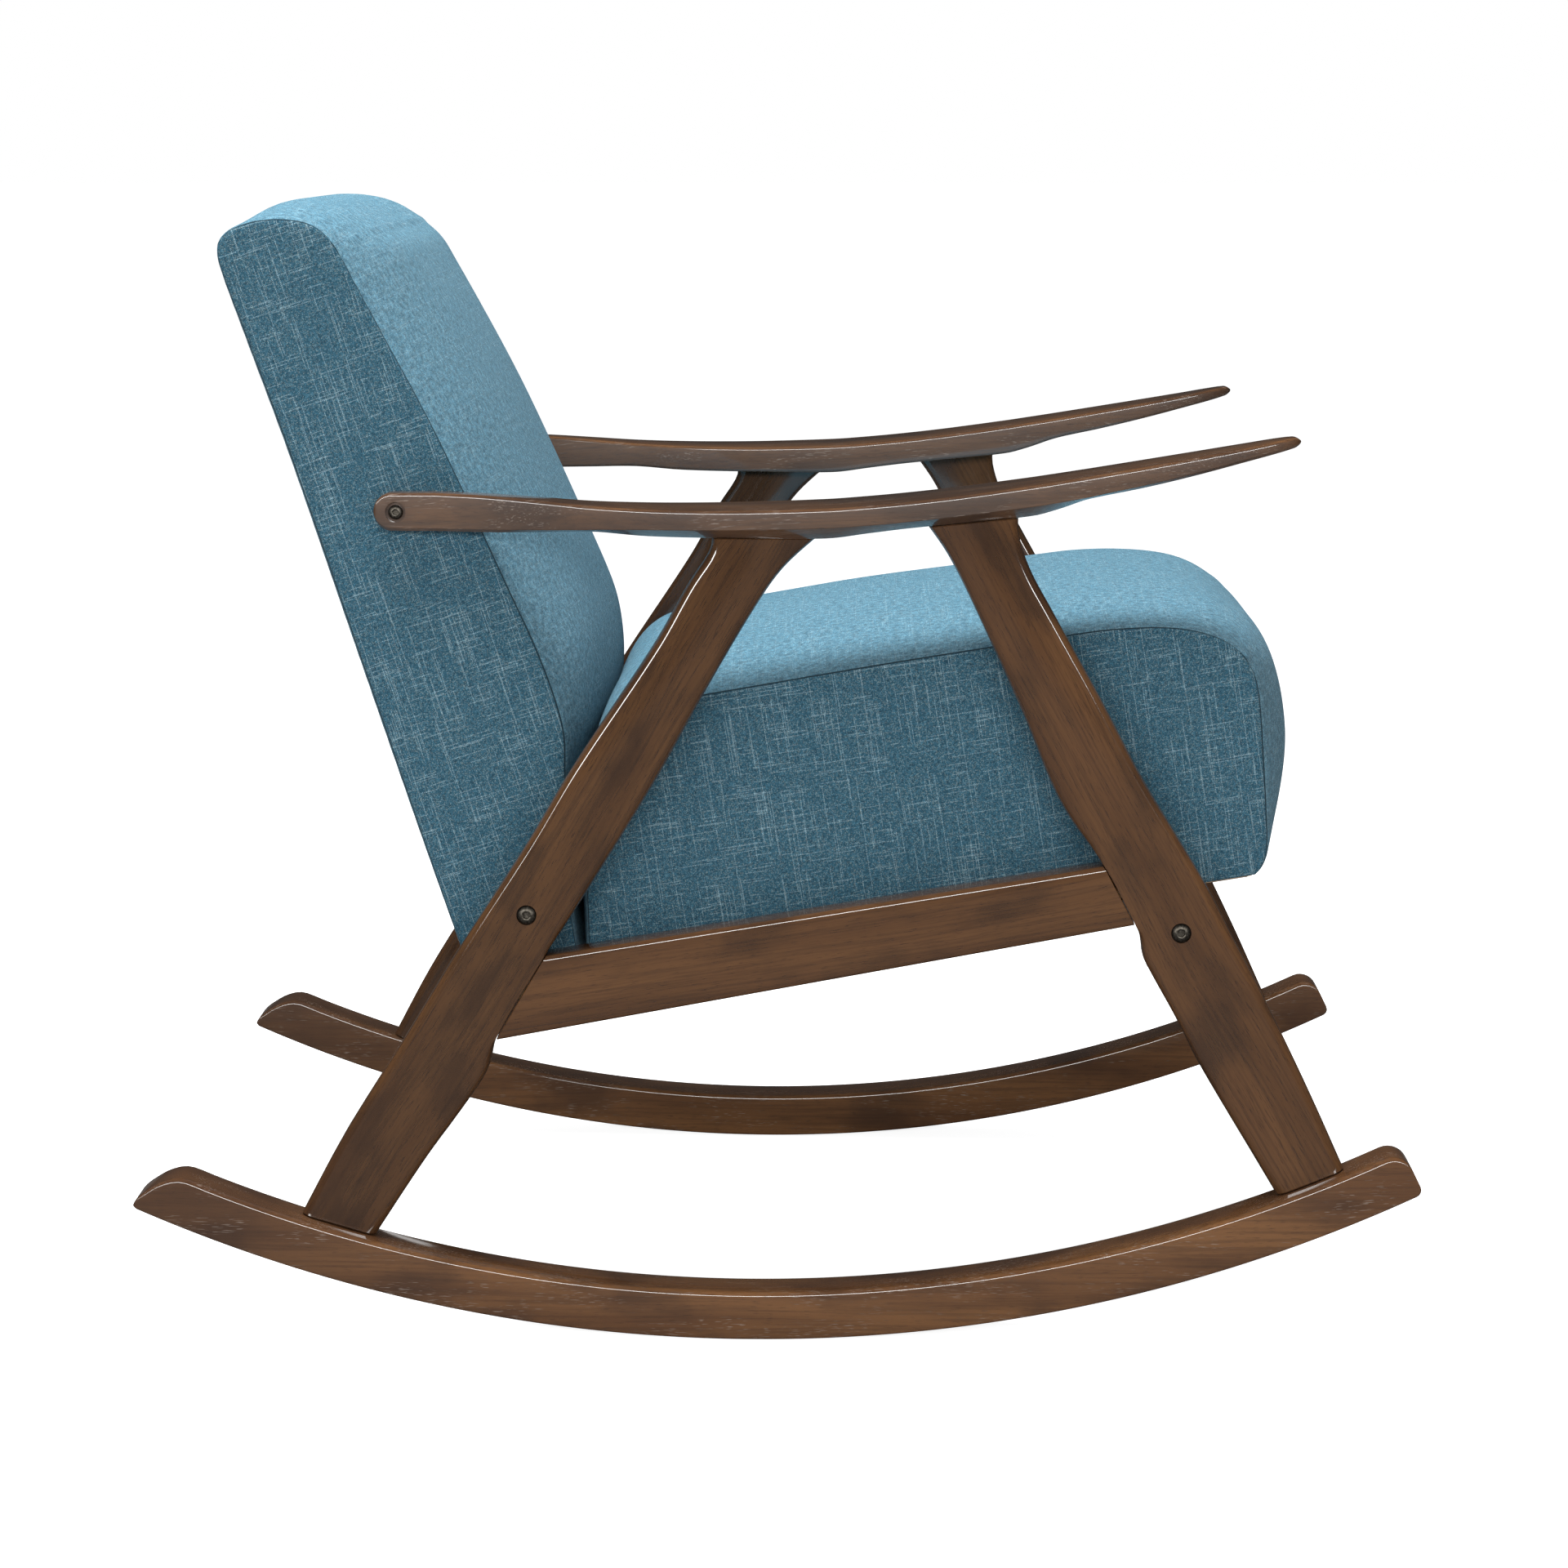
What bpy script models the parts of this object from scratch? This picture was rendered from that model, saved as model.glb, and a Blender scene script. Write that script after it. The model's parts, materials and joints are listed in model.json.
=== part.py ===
"""Upholstered wooden rocking chair, built as separate parts in one frame.

Metres, +Z up. +X is the chair's front, +Y its left side. The origin is on the floor,
under the centre of the whole chair. Right and left are the sitter's.
"""
import math

import bmesh
import bpy
from mathutils import Vector

# ---------------------------------------------------------------- driving dimensions
GAP = 0.0003            # clearance between pieces that touch
CURVED_GAP = 0.0005     # clearance where two curved faces meet

# Rockers: an arc that rolls on the floor, resting a little behind the middle
ROLL_RADIUS = 1.180
REST_X = -0.017
ROCKER_HEIGHT = 0.038
ROCKER_OUT = 0.330
ROCKER_IN = 0.288
ROCKER_ROUND = 0.004
# each rocker rests on a narrow flat facet, so the arc's centre sits a little below its radius
FACET_ANGLE = math.radians(2.09)
ARC_CENTRE_Z = ROLL_RADIUS * math.cos(FACET_ANGLE / 2)
# rocker ends, from the body outwards: angle in degrees, upper and lower radius
REAR_NOSE = [(-23.00, 1.1455, 1.1800), (-23.55, 1.1560, 1.1800), (-23.95, 1.1660, 1.1798),
             (-24.17, 1.1720, 1.1790)]
FRONT_NOSE = [(25.05, 1.1420, 1.1800), (25.55, 1.1450, 1.1799), (25.90, 1.1520, 1.1785),
              (26.08, 1.1600, 1.1750)]

# Side frames: legs and side rails share one plane
LEG_OUT = 0.315
LEG_IN = ROCKER_IN
RAIL_IN = 0.285
EDGE_ROUND = 0.008
RAIL_ROUND = 0.004

# Seat and back
SEAT_TILT = math.radians(9.5)
SEAT_FRONT_BOTTOM = (0.373, 0.359)
SEAT_HALF = 0.275
SEAT_REAR = -0.5205
BACK_RECLINE = math.radians(18.0)
BACK_REAR_BOTTOM = (-0.2465, 0.298)
BACK_HALF = 0.272
BOARD = 0.018
FRAME_RAIL = 0.022
FRAME_TALL = 0.090
BACK_BOARD = 0.015
STRAP = 0.002
STRAP_WIDTH = 0.060

# Fasteners
REAR_BOLT = (-0.1915, 0.3345)
FRONT_BOLT = (0.3125, 0.3225)
ARM_BOLT = (-0.290, 0.6435)
SHANK_RADIUS = 0.003
SHANK_HOLE = 0.0036
LEG_HEAD_RADIUS = 0.0074
ARM_HEAD_RADIUS = 0.0056
COUNTERBORE_RADIUS = 0.0078
COUNTERBORE_DEPTH = 0.0030
INSERT_RADIUS = 0.0050
INSERT_BORE = 0.0034
DOWEL_RADIUS = 0.005
DOWEL_HOLE = 0.0055

SIDES = (("right", -1.0), ("left", 1.0))

# ---------------------------------------------------------------- outlines in the XZ plane
# Each leg edge is a smooth curve through (height, x) points.
REAR_LEG_BACK = [
    (0.085, -0.376), (0.159, -0.336), (0.242, -0.284), (0.306, -0.245), (0.389, -0.1915),
    (0.450, -0.155), (0.545, -0.092), (0.592, -0.0655), (0.618, -0.049), (0.634, -0.048),
]
REAR_LEG_FRONT = [
    (0.075, -0.315), (0.139, -0.273), (0.189, -0.237), (0.212, -0.223), (0.235, -0.217),
    (0.300, -0.179), (0.335, -0.156), (0.437, -0.093), (0.507, -0.054), (0.573, -0.015),
    (0.604, 0.007), (0.634, 0.040),
]
FRONT_LEG_BACK = [
    (0.110, 0.393), (0.145, 0.372), (0.217, 0.329), (0.254, 0.310), (0.290, 0.290),
    (0.302, 0.284), (0.318, 0.2815), (0.328, 0.2775), (0.374, 0.253), (0.410, 0.227),
    (0.435, 0.213), (0.495, 0.188), (0.577, 0.150), (0.614, 0.131), (0.640, 0.113),
]
FRONT_LEG_FRONT = [
    (0.120, 0.449), (0.141, 0.4395), (0.202, 0.4115), (0.276, 0.375), (0.318, 0.3526),
    (0.360, 0.331), (0.442, 0.2815), (0.502, 0.2495), (0.570, 0.2115), (0.602, 0.194),
    (0.629, 0.185), (0.648, 0.1845),
]

# Armrest stations: x, top, underside of the outer edge, underside, inner and outer half-spacing
ARM_STATIONS = [
    (-0.3070, 0.6490, 0.6385, 0.6385, 0.2760, 0.2915),
    (-0.3035, 0.6545, 0.6330, 0.6330, 0.2730, 0.2940),
    (-0.2950, 0.6580, 0.6295, 0.6295, 0.2725, 0.2945),
    (-0.2600, 0.6583, 0.6290, 0.6290, 0.2725, 0.2945),
    (-0.2200, 0.6565, 0.6290, 0.6285, 0.2725, 0.2980),
    (-0.1800, 0.6536, 0.6305, 0.6290, 0.2715, 0.3060),
    (-0.1400, 0.6505, 0.6325, 0.6297, 0.2680, 0.3150),
    (-0.1000, 0.6488, 0.6333, 0.6272, 0.2620, 0.3220),
    (-0.0600, 0.6482, 0.6335, 0.6264, 0.2560, 0.3265),
    (-0.0200, 0.6485, 0.6340, 0.6264, 0.2515, 0.3290),
    (0.0400, 0.6504, 0.6358, 0.6264, 0.2480, 0.3300),
    (0.0700, 0.6526, 0.6378, 0.6302, 0.2475, 0.3300),
    (0.1000, 0.6554, 0.6405, 0.6340, 0.2475, 0.3300),
    (0.1400, 0.6600, 0.6449, 0.6380, 0.2485, 0.3290),
    (0.1950, 0.6676, 0.6520, 0.6435, 0.2508, 0.3268),
    (0.2150, 0.6707, 0.6550, 0.6487, 0.2518, 0.3256),
    (0.2400, 0.6747, 0.6594, 0.6570, 0.2530, 0.3240),
    (0.2800, 0.6814, 0.6666, 0.6656, 0.2550, 0.3205),
    (0.3200, 0.6883, 0.6755, 0.6750, 0.2580, 0.3155),
    (0.3550, 0.6946, 0.6845, 0.6839, 0.2630, 0.3095),
    (0.3800, 0.6994, 0.6905, 0.6902, 0.2700, 0.3035),
    (0.3930, 0.7015, 0.6938, 0.6938, 0.2770, 0.2985),
    (0.3985, 0.7008, 0.6960, 0.6960, 0.2815, 0.2945),
]

# Front outline of the back, in back coordinates: depth from the rear face, height
BACK_FRONT = [
    (0.084, -0.046), (0.0895, -0.012), (0.095, 0.020), (0.108, 0.062), (0.123, 0.109),
    (0.1325, 0.144), (0.1325, 0.200), (0.126, 0.263), (0.1124, 0.383), (0.098, 0.469),
    (0.091, 0.509), (0.085, 0.545), (0.076, 0.565), (0.058, 0.577), (0.034, 0.583),
    (0.012, 0.582), (0.0035, 0.575),
]
# Seat outline above its frame, in seat coordinates: distance from the front corner, height
SEAT_TOP = [
    (-0.5128, 0.0940), (-0.508, 0.1265), (-0.4995, 0.1655), (-0.486, 0.192), (-0.465, 0.2065),
    (-0.436, 0.2108), (-0.390, 0.2115), (-0.250, 0.2125), (-0.112, 0.2115), (-0.076, 0.2100),
    (-0.041, 0.2055), (-0.0155, 0.198), (0.005, 0.1865), (0.0175, 0.172), (0.023, 0.154),
    (0.0235, 0.129), (0.0202, 0.0940),
]
SEAT_CROWN = 0.025
SEAT_EDGE_CROWN = 0.014
SEAT_FRONT_CROWN = 0.033
SEAT_REAR_CROWN = 0.003
BACK_CROWN = 0.038
BACK_TOP_CROWN = 0.014


# ---------------------------------------------------------------- materials
def material(name, color, roughness, metallic=0.0):
    mat = bpy.data.materials.new(name)
    mat.use_nodes = True
    shader = mat.node_tree.nodes["Principled BSDF"]
    shader.inputs["Base Color"].default_value = (*color, 1.0)
    shader.inputs["Roughness"].default_value = roughness
    shader.inputs["Metallic"].default_value = metallic
    mat.diffuse_color = (*color, 1.0)
    return mat


# ---------------------------------------------------------------- geometry helpers
def curve_value(points, u):
    """A smooth curve v(u) through (u, v) points, by cubic Hermite pieces."""
    last = len(points) - 1
    i = 0
    while i < last - 1 and u > points[i + 1][0]:
        i += 1
    slopes = []
    for k in (i, i + 1):
        a = points[max(k - 1, 0)]
        b = points[min(k + 1, last)]
        slopes.append((b[1] - a[1]) / (b[0] - a[0]))
    (u0, v0), (u1, v1) = points[i], points[i + 1]
    h = u1 - u0
    t = (u - u0) / h
    return ((2 * t**3 - 3 * t**2 + 1) * v0 + (t**3 - 2 * t**2 + t) * h * slopes[0]
            + (-2 * t**3 + 3 * t**2) * v1 + (t**3 - t**2) * h * slopes[1])


def smooth_path(points, per_span):
    """Points along a smooth curve through 2D points, per_span to each span."""
    path = []
    last = len(points) - 1
    for i in range(last):
        p0 = Vector(points[max(i - 1, 0)])
        p1 = Vector(points[i])
        p2 = Vector(points[i + 1])
        p3 = Vector(points[min(i + 2, last)])
        for k in range(per_span):
            t = k / per_span
            path.append(0.5 * (2 * p1 + (p2 - p0) * t + (2 * p0 - 5 * p1 + 4 * p2 - p3) * t**2
                               + (3 * p1 - p0 - 3 * p2 + p3) * t**3))
    path.append(Vector(points[-1]))
    return path


def new_object(name, bm, mat, smooth=True):
    bmesh.ops.recalc_face_normals(bm, faces=bm.faces)
    mesh = bpy.data.meshes.new(name)
    bm.to_mesh(mesh)
    bm.free()
    mesh.materials.append(mat)
    if smooth:
        mesh.shade_smooth()
        mesh.set_sharp_from_angle(angle=math.radians(35))
    obj = bpy.data.objects.new(name, mesh)
    bpy.context.collection.objects.link(obj)
    return obj


def loft(name, rings, mat):
    """A closed body through rings of points. A ring's first and last points face each
    other across the piece, so that the end caps are strips of quads."""
    bm = bmesh.new()
    rows = [[bm.verts.new(p) for p in ring] for ring in rings]
    count = len(rows[0])
    for a, b in zip(rows, rows[1:]):
        for i in range(count):
            j = (i + 1) % count
            bm.faces.new((a[i], a[j], b[j], b[i]))
    for row in (rows[0], rows[-1]):
        for i in range(count // 2 - 1):
            bm.faces.new((row[i], row[i + 1], row[count - 2 - i], row[count - 1 - i]))
    return new_object(name, bm, mat)


def prism(name, outline, low, high, mat, place):
    """An outline extruded between two values of y. place turns (u, v, y) into a point."""
    bm = bmesh.new()
    near = [bm.verts.new(place(u, v, low)) for u, v in outline]
    far = [bm.verts.new(place(u, v, high)) for u, v in outline]
    bm.faces.new(near)
    bm.faces.new(list(reversed(far)))
    for i in range(len(outline)):
        j = (i + 1) % len(outline)
        bm.faces.new((near[i], far[i], far[j], near[j]))
    return new_object(name, bm, mat, smooth=False)


def turned(name, profile, mat, base, axis, segments=16):
    """A round piece: (radius, distance) pairs turned about an axis that leaves base.
    A profile that starts and ends on the axis is closed there."""
    axis = Vector(axis).normalized()
    side = axis.orthogonal().normalized()
    other = axis.cross(side)
    base = Vector(base)
    bm = bmesh.new()
    rows = []
    for radius, along in profile:
        centre = base + axis * along
        if radius == 0.0:
            rows.append([bm.verts.new(centre)])
            continue
        angles = [2 * math.pi * k / segments for k in range(segments)]
        rows.append([bm.verts.new(centre + (side * math.cos(a) + other * math.sin(a)) * radius)
                     for a in angles])
    loop = list(zip(rows, rows[1:]))
    if profile[0][0] > 0.0:
        loop.append((rows[-1], rows[0]))
    for a, b in loop:
        for i in range(segments):
            j = (i + 1) % segments
            corners = [a[i % len(a)], a[j % len(a)], b[j % len(b)], b[i % len(b)]]
            bm.faces.new(list(dict.fromkeys(corners)))
    return new_object(name, bm, mat)


def cylinder_cutter(name, base, axis, length, radius, segments=16):
    profile = [(0.0, 0.0), (radius, 0.0), (radius, length), (0.0, length)]
    cutter = turned(name, profile, MATERIALS["cutter"], base, axis, segments)
    cutter.hide_render = True
    cutter.display_type = "WIRE"
    return cutter


def cut(obj, cutter):
    step = obj.modifiers.new("cut_" + cutter.name, "BOOLEAN")
    step.operation = "DIFFERENCE"
    step.solver = "EXACT"
    step.object = cutter


def rounded_section(low_u, high_u, low_y, high_y, round_low, round_high, steps, side_steps):
    """A section as (u, y) points, symmetric about the middle of y. It starts at the high end
    of u on the high-y side. round_low and round_high round the corners at each end of u."""
    half = []
    for k in range(steps + 1):
        a = math.pi / 2 * k / steps
        half.append((high_u - round_high * (1 - math.cos(a)), high_y - round_high * (1 - math.sin(a))))
    for k in range(1, side_steps):
        t = k / side_steps
        half.append(((high_u - round_high) * (1 - t) + (low_u + round_low) * t, high_y))
    for k in range(steps + 1):
        a = math.pi / 2 * k / steps
        half.append((low_u + round_low * (1 - math.sin(a)), high_y - round_low * (1 - math.cos(a))))
    mirrored = [(u, low_y + high_y - y) for u, y in reversed(half)]
    return half + mirrored


# ---------------------------------------------------------------- rockers
def rocker_top(x):
    """Height of the rocker's upper face at x."""
    inner = ROLL_RADIUS - ROCKER_HEIGHT
    return ROLL_RADIUS - math.sqrt(inner**2 - (x - REST_X)**2)


def rocker_slope(x):
    inner = ROLL_RADIUS - ROCKER_HEIGHT
    return (x - REST_X) / math.sqrt(inner**2 - (x - REST_X)**2)


def rocker_seat(x, half_width):
    """Height and slope of a flat foot at x, whose two edges just clear the hollow arc."""
    inner = ROLL_RADIUS - ROCKER_HEIGHT
    return rocker_top(x) + half_width**2 / (2 * inner) + GAP, rocker_slope(x)


def rocker(name, sign):
    stations = [(math.degrees((k + 0.5) * FACET_ANGLE), ROLL_RADIUS - ROCKER_HEIGHT, ROLL_RADIUS)
                for k in range(-11, 12)]
    stations = list(reversed(REAR_NOSE)) + stations + FRONT_NOSE
    rings = []
    for degrees, top, bottom in stations:
        angle = math.radians(degrees)
        radius_round = min(ROCKER_ROUND, 0.35 * (bottom - top))
        section = rounded_section(top, bottom, ROCKER_IN, ROCKER_OUT,
                                  radius_round, radius_round * 0.6, 2, 2)
        rings.append([(REST_X + r * math.sin(angle), sign * y, ARC_CENTRE_Z - r * math.cos(angle))
                      for r, y in section])
    return loft(name, rings, MATERIALS["wood"])


# ---------------------------------------------------------------- legs and side rails
def sloped_point(edge, x_guess, height, slope, x_zero):
    """Where a leg edge crosses the line of the given height at x_zero and slope."""
    x = x_guess
    for _ in range(25):
        x = curve_value(edge, height + slope * (x - x_zero))
    return x


def leg_middle(back_edge, front_edge, height):
    return 0.5 * (curve_value(back_edge, height) + curve_value(front_edge, height))


def leg_foot(back_edge, front_edge):
    """The foot's (height, slope), found where the leg's width meets the rocker."""
    height = rocker_top(back_edge[0][1])
    for _ in range(20):
        half = 0.6 * (curve_value(front_edge, height) - curve_value(back_edge, height))
        height, slope = rocker_seat(leg_middle(back_edge, front_edge, height), half)
    return height, slope


def leg_head(back_edge, front_edge, slope):
    """The head's (height, slope), found where the leg's width meets the armrest."""
    height = back_edge[-1][0]
    for _ in range(20):
        height = arm_underside(leg_middle(back_edge, front_edge, height)) - GAP
    return height, slope


def leg(name, sign, back_edge, front_edge, head_slope):
    stations = 26
    low = leg_foot(back_edge, front_edge)
    high = leg_head(back_edge, front_edge, head_slope)
    rings = []
    for k in range(stations + 1):
        t = k / stations
        height = low[0] + (high[0] - low[0]) * t
        slope = low[1] * max(0.0, 1 - 4 * t) + high[1] * max(0.0, 4 * t - 3)
        middle = leg_middle(back_edge, front_edge, height)
        x_back = sloped_point(back_edge, middle, height, slope, middle)
        x_front = sloped_point(front_edge, middle, height, slope, middle)
        section = rounded_section(x_back, x_front, LEG_IN, LEG_OUT, EDGE_ROUND, EDGE_ROUND, 2, 2)
        rings.append([(x, sign * y, height + slope * (x - middle)) for x, y in section])
    return loft(name, rings, MATERIALS["wood"])


def rail_top(x):
    return 0.3096 + 0.1677 * (x + 0.1312)


def rail_bottom(x):
    return 0.2348 + 0.1886 * (x + 0.2174)


def side_rail(name, sign):
    """A tapered board whose ends follow the two legs' edges."""
    stations = 6
    rings = []
    x_rear_middle = -0.198
    x_front_middle = 0.265
    for k in range(stations + 1):
        t = k / stations
        x_mid = x_rear_middle + (x_front_middle - x_rear_middle) * t
        low = rail_bottom(x_mid)
        high = rail_top(x_mid)
        section = rounded_section(low, high, RAIL_IN, LEG_OUT - GAP, RAIL_ROUND, RAIL_ROUND, 2, 6)
        ring = []
        for v, y in section:
            share = (v - low) / (high - low)
            x = x_mid
            for _ in range(20):
                z = rail_bottom(x) + (rail_top(x) - rail_bottom(x)) * share
                x_rear = curve_value(REAR_LEG_FRONT, z) + CURVED_GAP
                x_front = curve_value(FRONT_LEG_BACK, z) - CURVED_GAP
                x = x_rear * (1 - t) + x_front * t
            ring.append((x, sign * y, z))
        rings.append(ring)
    return loft(name, rings, MATERIALS["wood"])


# ---------------------------------------------------------------- armrests
def arm_underside(x):
    """Height of the armrest's underside at x."""
    for a, b in zip(ARM_STATIONS, ARM_STATIONS[1:]):
        if a[0] <= x <= b[0]:
            return a[3] + (b[3] - a[3]) * (x - a[0]) / (b[0] - a[0])
    raise ValueError("x is outside the armrest")


def armrest(name, sign):
    rings = []
    for x, top, edge, under, inner, outer in ARM_STATIONS:
        ease = min(0.0025, 0.25 * (top - under), 0.2 * (outer - inner))
        bevel = min(0.015, 0.5 * (outer - inner))
        if edge - under < 0.001:
            bevel = ease
            edge = under + ease
        section = [
            (outer - ease, top), (outer, top - ease), (outer, edge), (outer - bevel, under),
            (inner + ease, under), (inner, under + ease), (inner, top - ease), (inner + ease, top),
        ]
        rings.append([(x, sign * y, z) for y, z in section])
    return loft(name, rings, MATERIALS["wood"])


# ---------------------------------------------------------------- seat and back placement
def seat_place(s, t, y):
    """Seat coordinates: s forward from the front corner along the slope, t up from the bottom."""
    c, d = math.cos(SEAT_TILT), math.sin(SEAT_TILT)
    x0, z0 = SEAT_FRONT_BOTTOM
    return Vector((x0 + s * c - t * d, y, z0 + s * d + t * c))


def back_place(d, h, y):
    """Back coordinates: d forward from the rear face, h up along it."""
    c, s = math.cos(BACK_RECLINE), math.sin(BACK_RECLINE)
    x0, z0 = BACK_REAR_BOTTOM
    return Vector((x0 + d * c - h * s, y, z0 + d * s + h * c))


def box(name, place, u, v, y, mat):
    outline = [(u[0], v[0]), (u[1], v[0]), (u[1], v[1]), (u[0], v[1])]
    return prism(name, outline, y[0], y[1], mat, place)


def crowned(name, outer, inner, half, crown_at, mat, place):
    """A cushion block: an outline swept across the width, bulging in the middle."""
    outer_path = smooth_path(outer, 2)
    normals = []
    for i in range(len(outer_path)):
        a = outer_path[max(i - 1, 0)]
        b = outer_path[min(i + 1, len(outer_path) - 1)]
        along = (b - a).normalized()
        normals.append(Vector((along.y, -along.x)))
    across = [-1.0, -0.95, -0.86, -0.70, -0.40, 0.0, 0.40, 0.70, 0.86, 0.95, 1.0]
    lowest = min(p.y for p in outer_path)
    rings = []
    for w in across:
        swell = 1 - abs(w) ** 4.5
        points = []
        for p, n in zip(outer_path, normals):
            amount = crown_at(p) * swell
            points.append((p.x + n.x * amount, max(lowest, p.y + n.y * amount)))
        points += inner
        rings.append([place(u, v, w * half) for u, v in points])
    bm = bmesh.new()
    rows = [[bm.verts.new(p) for p in ring] for ring in rings]
    count = len(rows[0])
    for a, b in zip(rows, rows[1:]):
        for i in range(count):
            j = (i + 1) % count
            bm.faces.new((a[i], a[j], b[j], b[i]))
    bm.faces.new(rows[0])
    bm.faces.new(rows[-1])
    return new_object(name, bm, mat)


# ---------------------------------------------------------------- cushions
def ramp(value, start, end):
    """0 before start, 1 after end, and straight in between."""
    return min(1.0, max(0.0, (value - start) / (end - start)))


def seat_crown(p):
    """How far the seat's middle bulges past its seam at an outline point."""
    top = SEAT_REAR_CROWN + (SEAT_CROWN - SEAT_REAR_CROWN) * ramp(p.x, -0.50, -0.44)
    top += (SEAT_EDGE_CROWN - SEAT_CROWN) * ramp(p.x, -0.30, -0.08)
    front = ramp(p.x, -0.05, 0.0) * (1 - ramp(p.y, 0.13, 0.19))
    return top + (SEAT_FRONT_CROWN - SEAT_EDGE_CROWN) * front


def back_crown(p):
    """How far the back's middle bulges past its seam at an outline point."""
    front = BACK_CROWN * ramp(p.y, 0.08, 0.20)
    top = BACK_TOP_CROWN * ramp(p.x, 0.010, 0.040)
    return front + (top - front) * ramp(p.y, 0.52, 0.57)


def seat_cushion():
    # the outline runs over the top from rear to front, and closes along its flat bottom
    outline = list(reversed(SEAT_TOP))
    return crowned("seat_cushion", outline, [], SEAT_HALF,
                   seat_crown, MATERIALS["fabric"], seat_place)


def back_cushion():
    # the block runs on below its frame, so that the lower end is nearly level in the chair
    inner = [(0.0035, 0.5635), (0.0595, 0.5635), (0.0873, 0.3520), (0.0873, -0.0035),
             (0.0050, -0.0035)]
    return crowned("back_cushion", BACK_FRONT, inner, BACK_HALF,
                   back_crown, MATERIALS["fabric"], back_place)


# ---------------------------------------------------------------- seat frame
def seat_frame():
    low, high = 0.001, 0.001 + FRAME_TALL
    wide = SEAT_HALF - 0.003
    # the end rails' outer faces are upright in the chair, so they lean in seat coordinates
    lean = FRAME_TALL * math.tan(SEAT_TILT)
    front = (-0.003 - FRAME_RAIL, -0.003)
    rear = (SEAT_REAR, SEAT_REAR + lean + FRAME_RAIL)
    wood = MATERIALS["frame_wood"]
    front_outline = [(front[0], low), (front[1], low), (front[1] + lean, high), (front[0], high)]
    rear_outline = [(rear[0], low), (rear[1], low), (rear[1], high), (rear[0] + lean, high)]
    prism("seat_frame_front", front_outline, -wide, wide, wood, seat_place)
    prism("seat_frame_rear", rear_outline, -wide, wide, wood, seat_place)
    for side, sign in SIDES:
        y = sorted((sign * wide, sign * (wide - FRAME_RAIL)))
        box("seat_frame_" + side, seat_place, (rear[1] + GAP, front[0] - GAP), (low, high), y, wood)
    for k in range(4):
        middle = (k - 1.5) * 0.115
        y = (middle - STRAP_WIDTH / 2, middle + STRAP_WIDTH / 2)
        v = (high + GAP, high + GAP + STRAP)
        box(f"seat_strap_{k + 1}", seat_place, (rear[0] + lean + 0.004, front[1] - 0.004), v, y,
            MATERIALS["strap"])
    box("seat_dust_cover", seat_place, (rear[0] + 0.003, front[1] - 0.003), (0.0, 0.0007),
        (-wide + 0.003, wide - 0.003), MATERIALS["dust_cover"])


# ---------------------------------------------------------------- back frame
BOTTOM_RAIL_D = (0.0420, 0.0840)
BOTTOM_RAIL_H = (-0.0020, 0.0380)


def back_frame():
    wood = MATERIALS["frame_wood"]
    outer = BACK_HALF - 0.002
    for side, sign in SIDES:
        outline = [
            (0.0020, -0.0020), (BOTTOM_RAIL_D[0] - GAP, -0.0020),
            (BOTTOM_RAIL_D[0] - GAP, BOTTOM_RAIL_H[1] + GAP), (0.0840, BOTTOM_RAIL_H[1] + GAP),
            (0.0840, 0.3520), (0.0580, 0.5630), (0.0020, 0.5630),
        ]
        y = sorted((sign * outer, sign * (outer - BOARD)))
        prism("back_side_board_" + side, outline, y[0], y[1], wood, back_place)
    between = outer - BOARD - GAP
    box("back_top_rail", back_place, (0.002, 0.054), (0.538, 0.560), (-between, between), wood)
    box("back_board", back_place, (0.002, 0.002 + BACK_BOARD), (0.002, 0.5370),
        (-between, between), wood)
    # its ends show beside the cover, so it is stained like the legs that it is bolted to
    box("back_bottom_rail", back_place, BOTTOM_RAIL_D, BOTTOM_RAIL_H,
        (-LEG_IN + GAP, LEG_IN - GAP), MATERIALS["wood"])
    for k in range(3):
        middle = 0.105 + 0.100 * k
        box(f"back_strap_{k + 1}", back_place, (0.0843, 0.0843 + STRAP),
            (middle - STRAP_WIDTH / 2, middle + STRAP_WIDTH / 2), (-outer + 0.003, outer - 0.003),
            MATERIALS["strap"])
    box("back_panel", back_place, (0.0, 0.0015), (-0.002, 0.5780), (-outer, outer),
        MATERIALS["fabric"])


# ---------------------------------------------------------------- cross rails
FRONT_RAIL_S = (-0.082, -0.050)
FRONT_RAIL_T = (-0.050, -GAP)
REAR_RAIL_S = (-0.500, -0.430)
REAR_RAIL_T = (-0.0200, -GAP)


def cross_rails():
    box("front_cross_rail", seat_place, FRONT_RAIL_S, FRONT_RAIL_T,
        (-LEG_IN + GAP, LEG_IN - GAP), MATERIALS["wood"])
    box("rear_cross_rail", seat_place, REAR_RAIL_S, REAR_RAIL_T,
        (-RAIL_IN + GAP, RAIL_IN - GAP), MATERIALS["wood"])


# ---------------------------------------------------------------- fasteners
def bolt(name, sign, x, z, face, head_radius, length):
    """A button-head bolt with a hex socket, its shank running in towards the middle."""
    head = 0.0045
    floor_of_bore = face - COUNTERBORE_DEPTH + GAP
    axis = (0.0, -sign, 0.0)
    base = (x, sign * (floor_of_bore + head), z)
    profile = [
        (0.0, 0.0026), (0.0024, 0.0026), (0.0024, 0.0002), (head_radius * 0.55, 0.0),
        (head_radius * 0.85, 0.0010), (head_radius, 0.0026), (head_radius, head),
        (SHANK_RADIUS, head), (SHANK_RADIUS, head + length), (0.0, head + length),
    ]
    return turned(name, profile, MATERIALS["bolt"], base, axis, 12)


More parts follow.
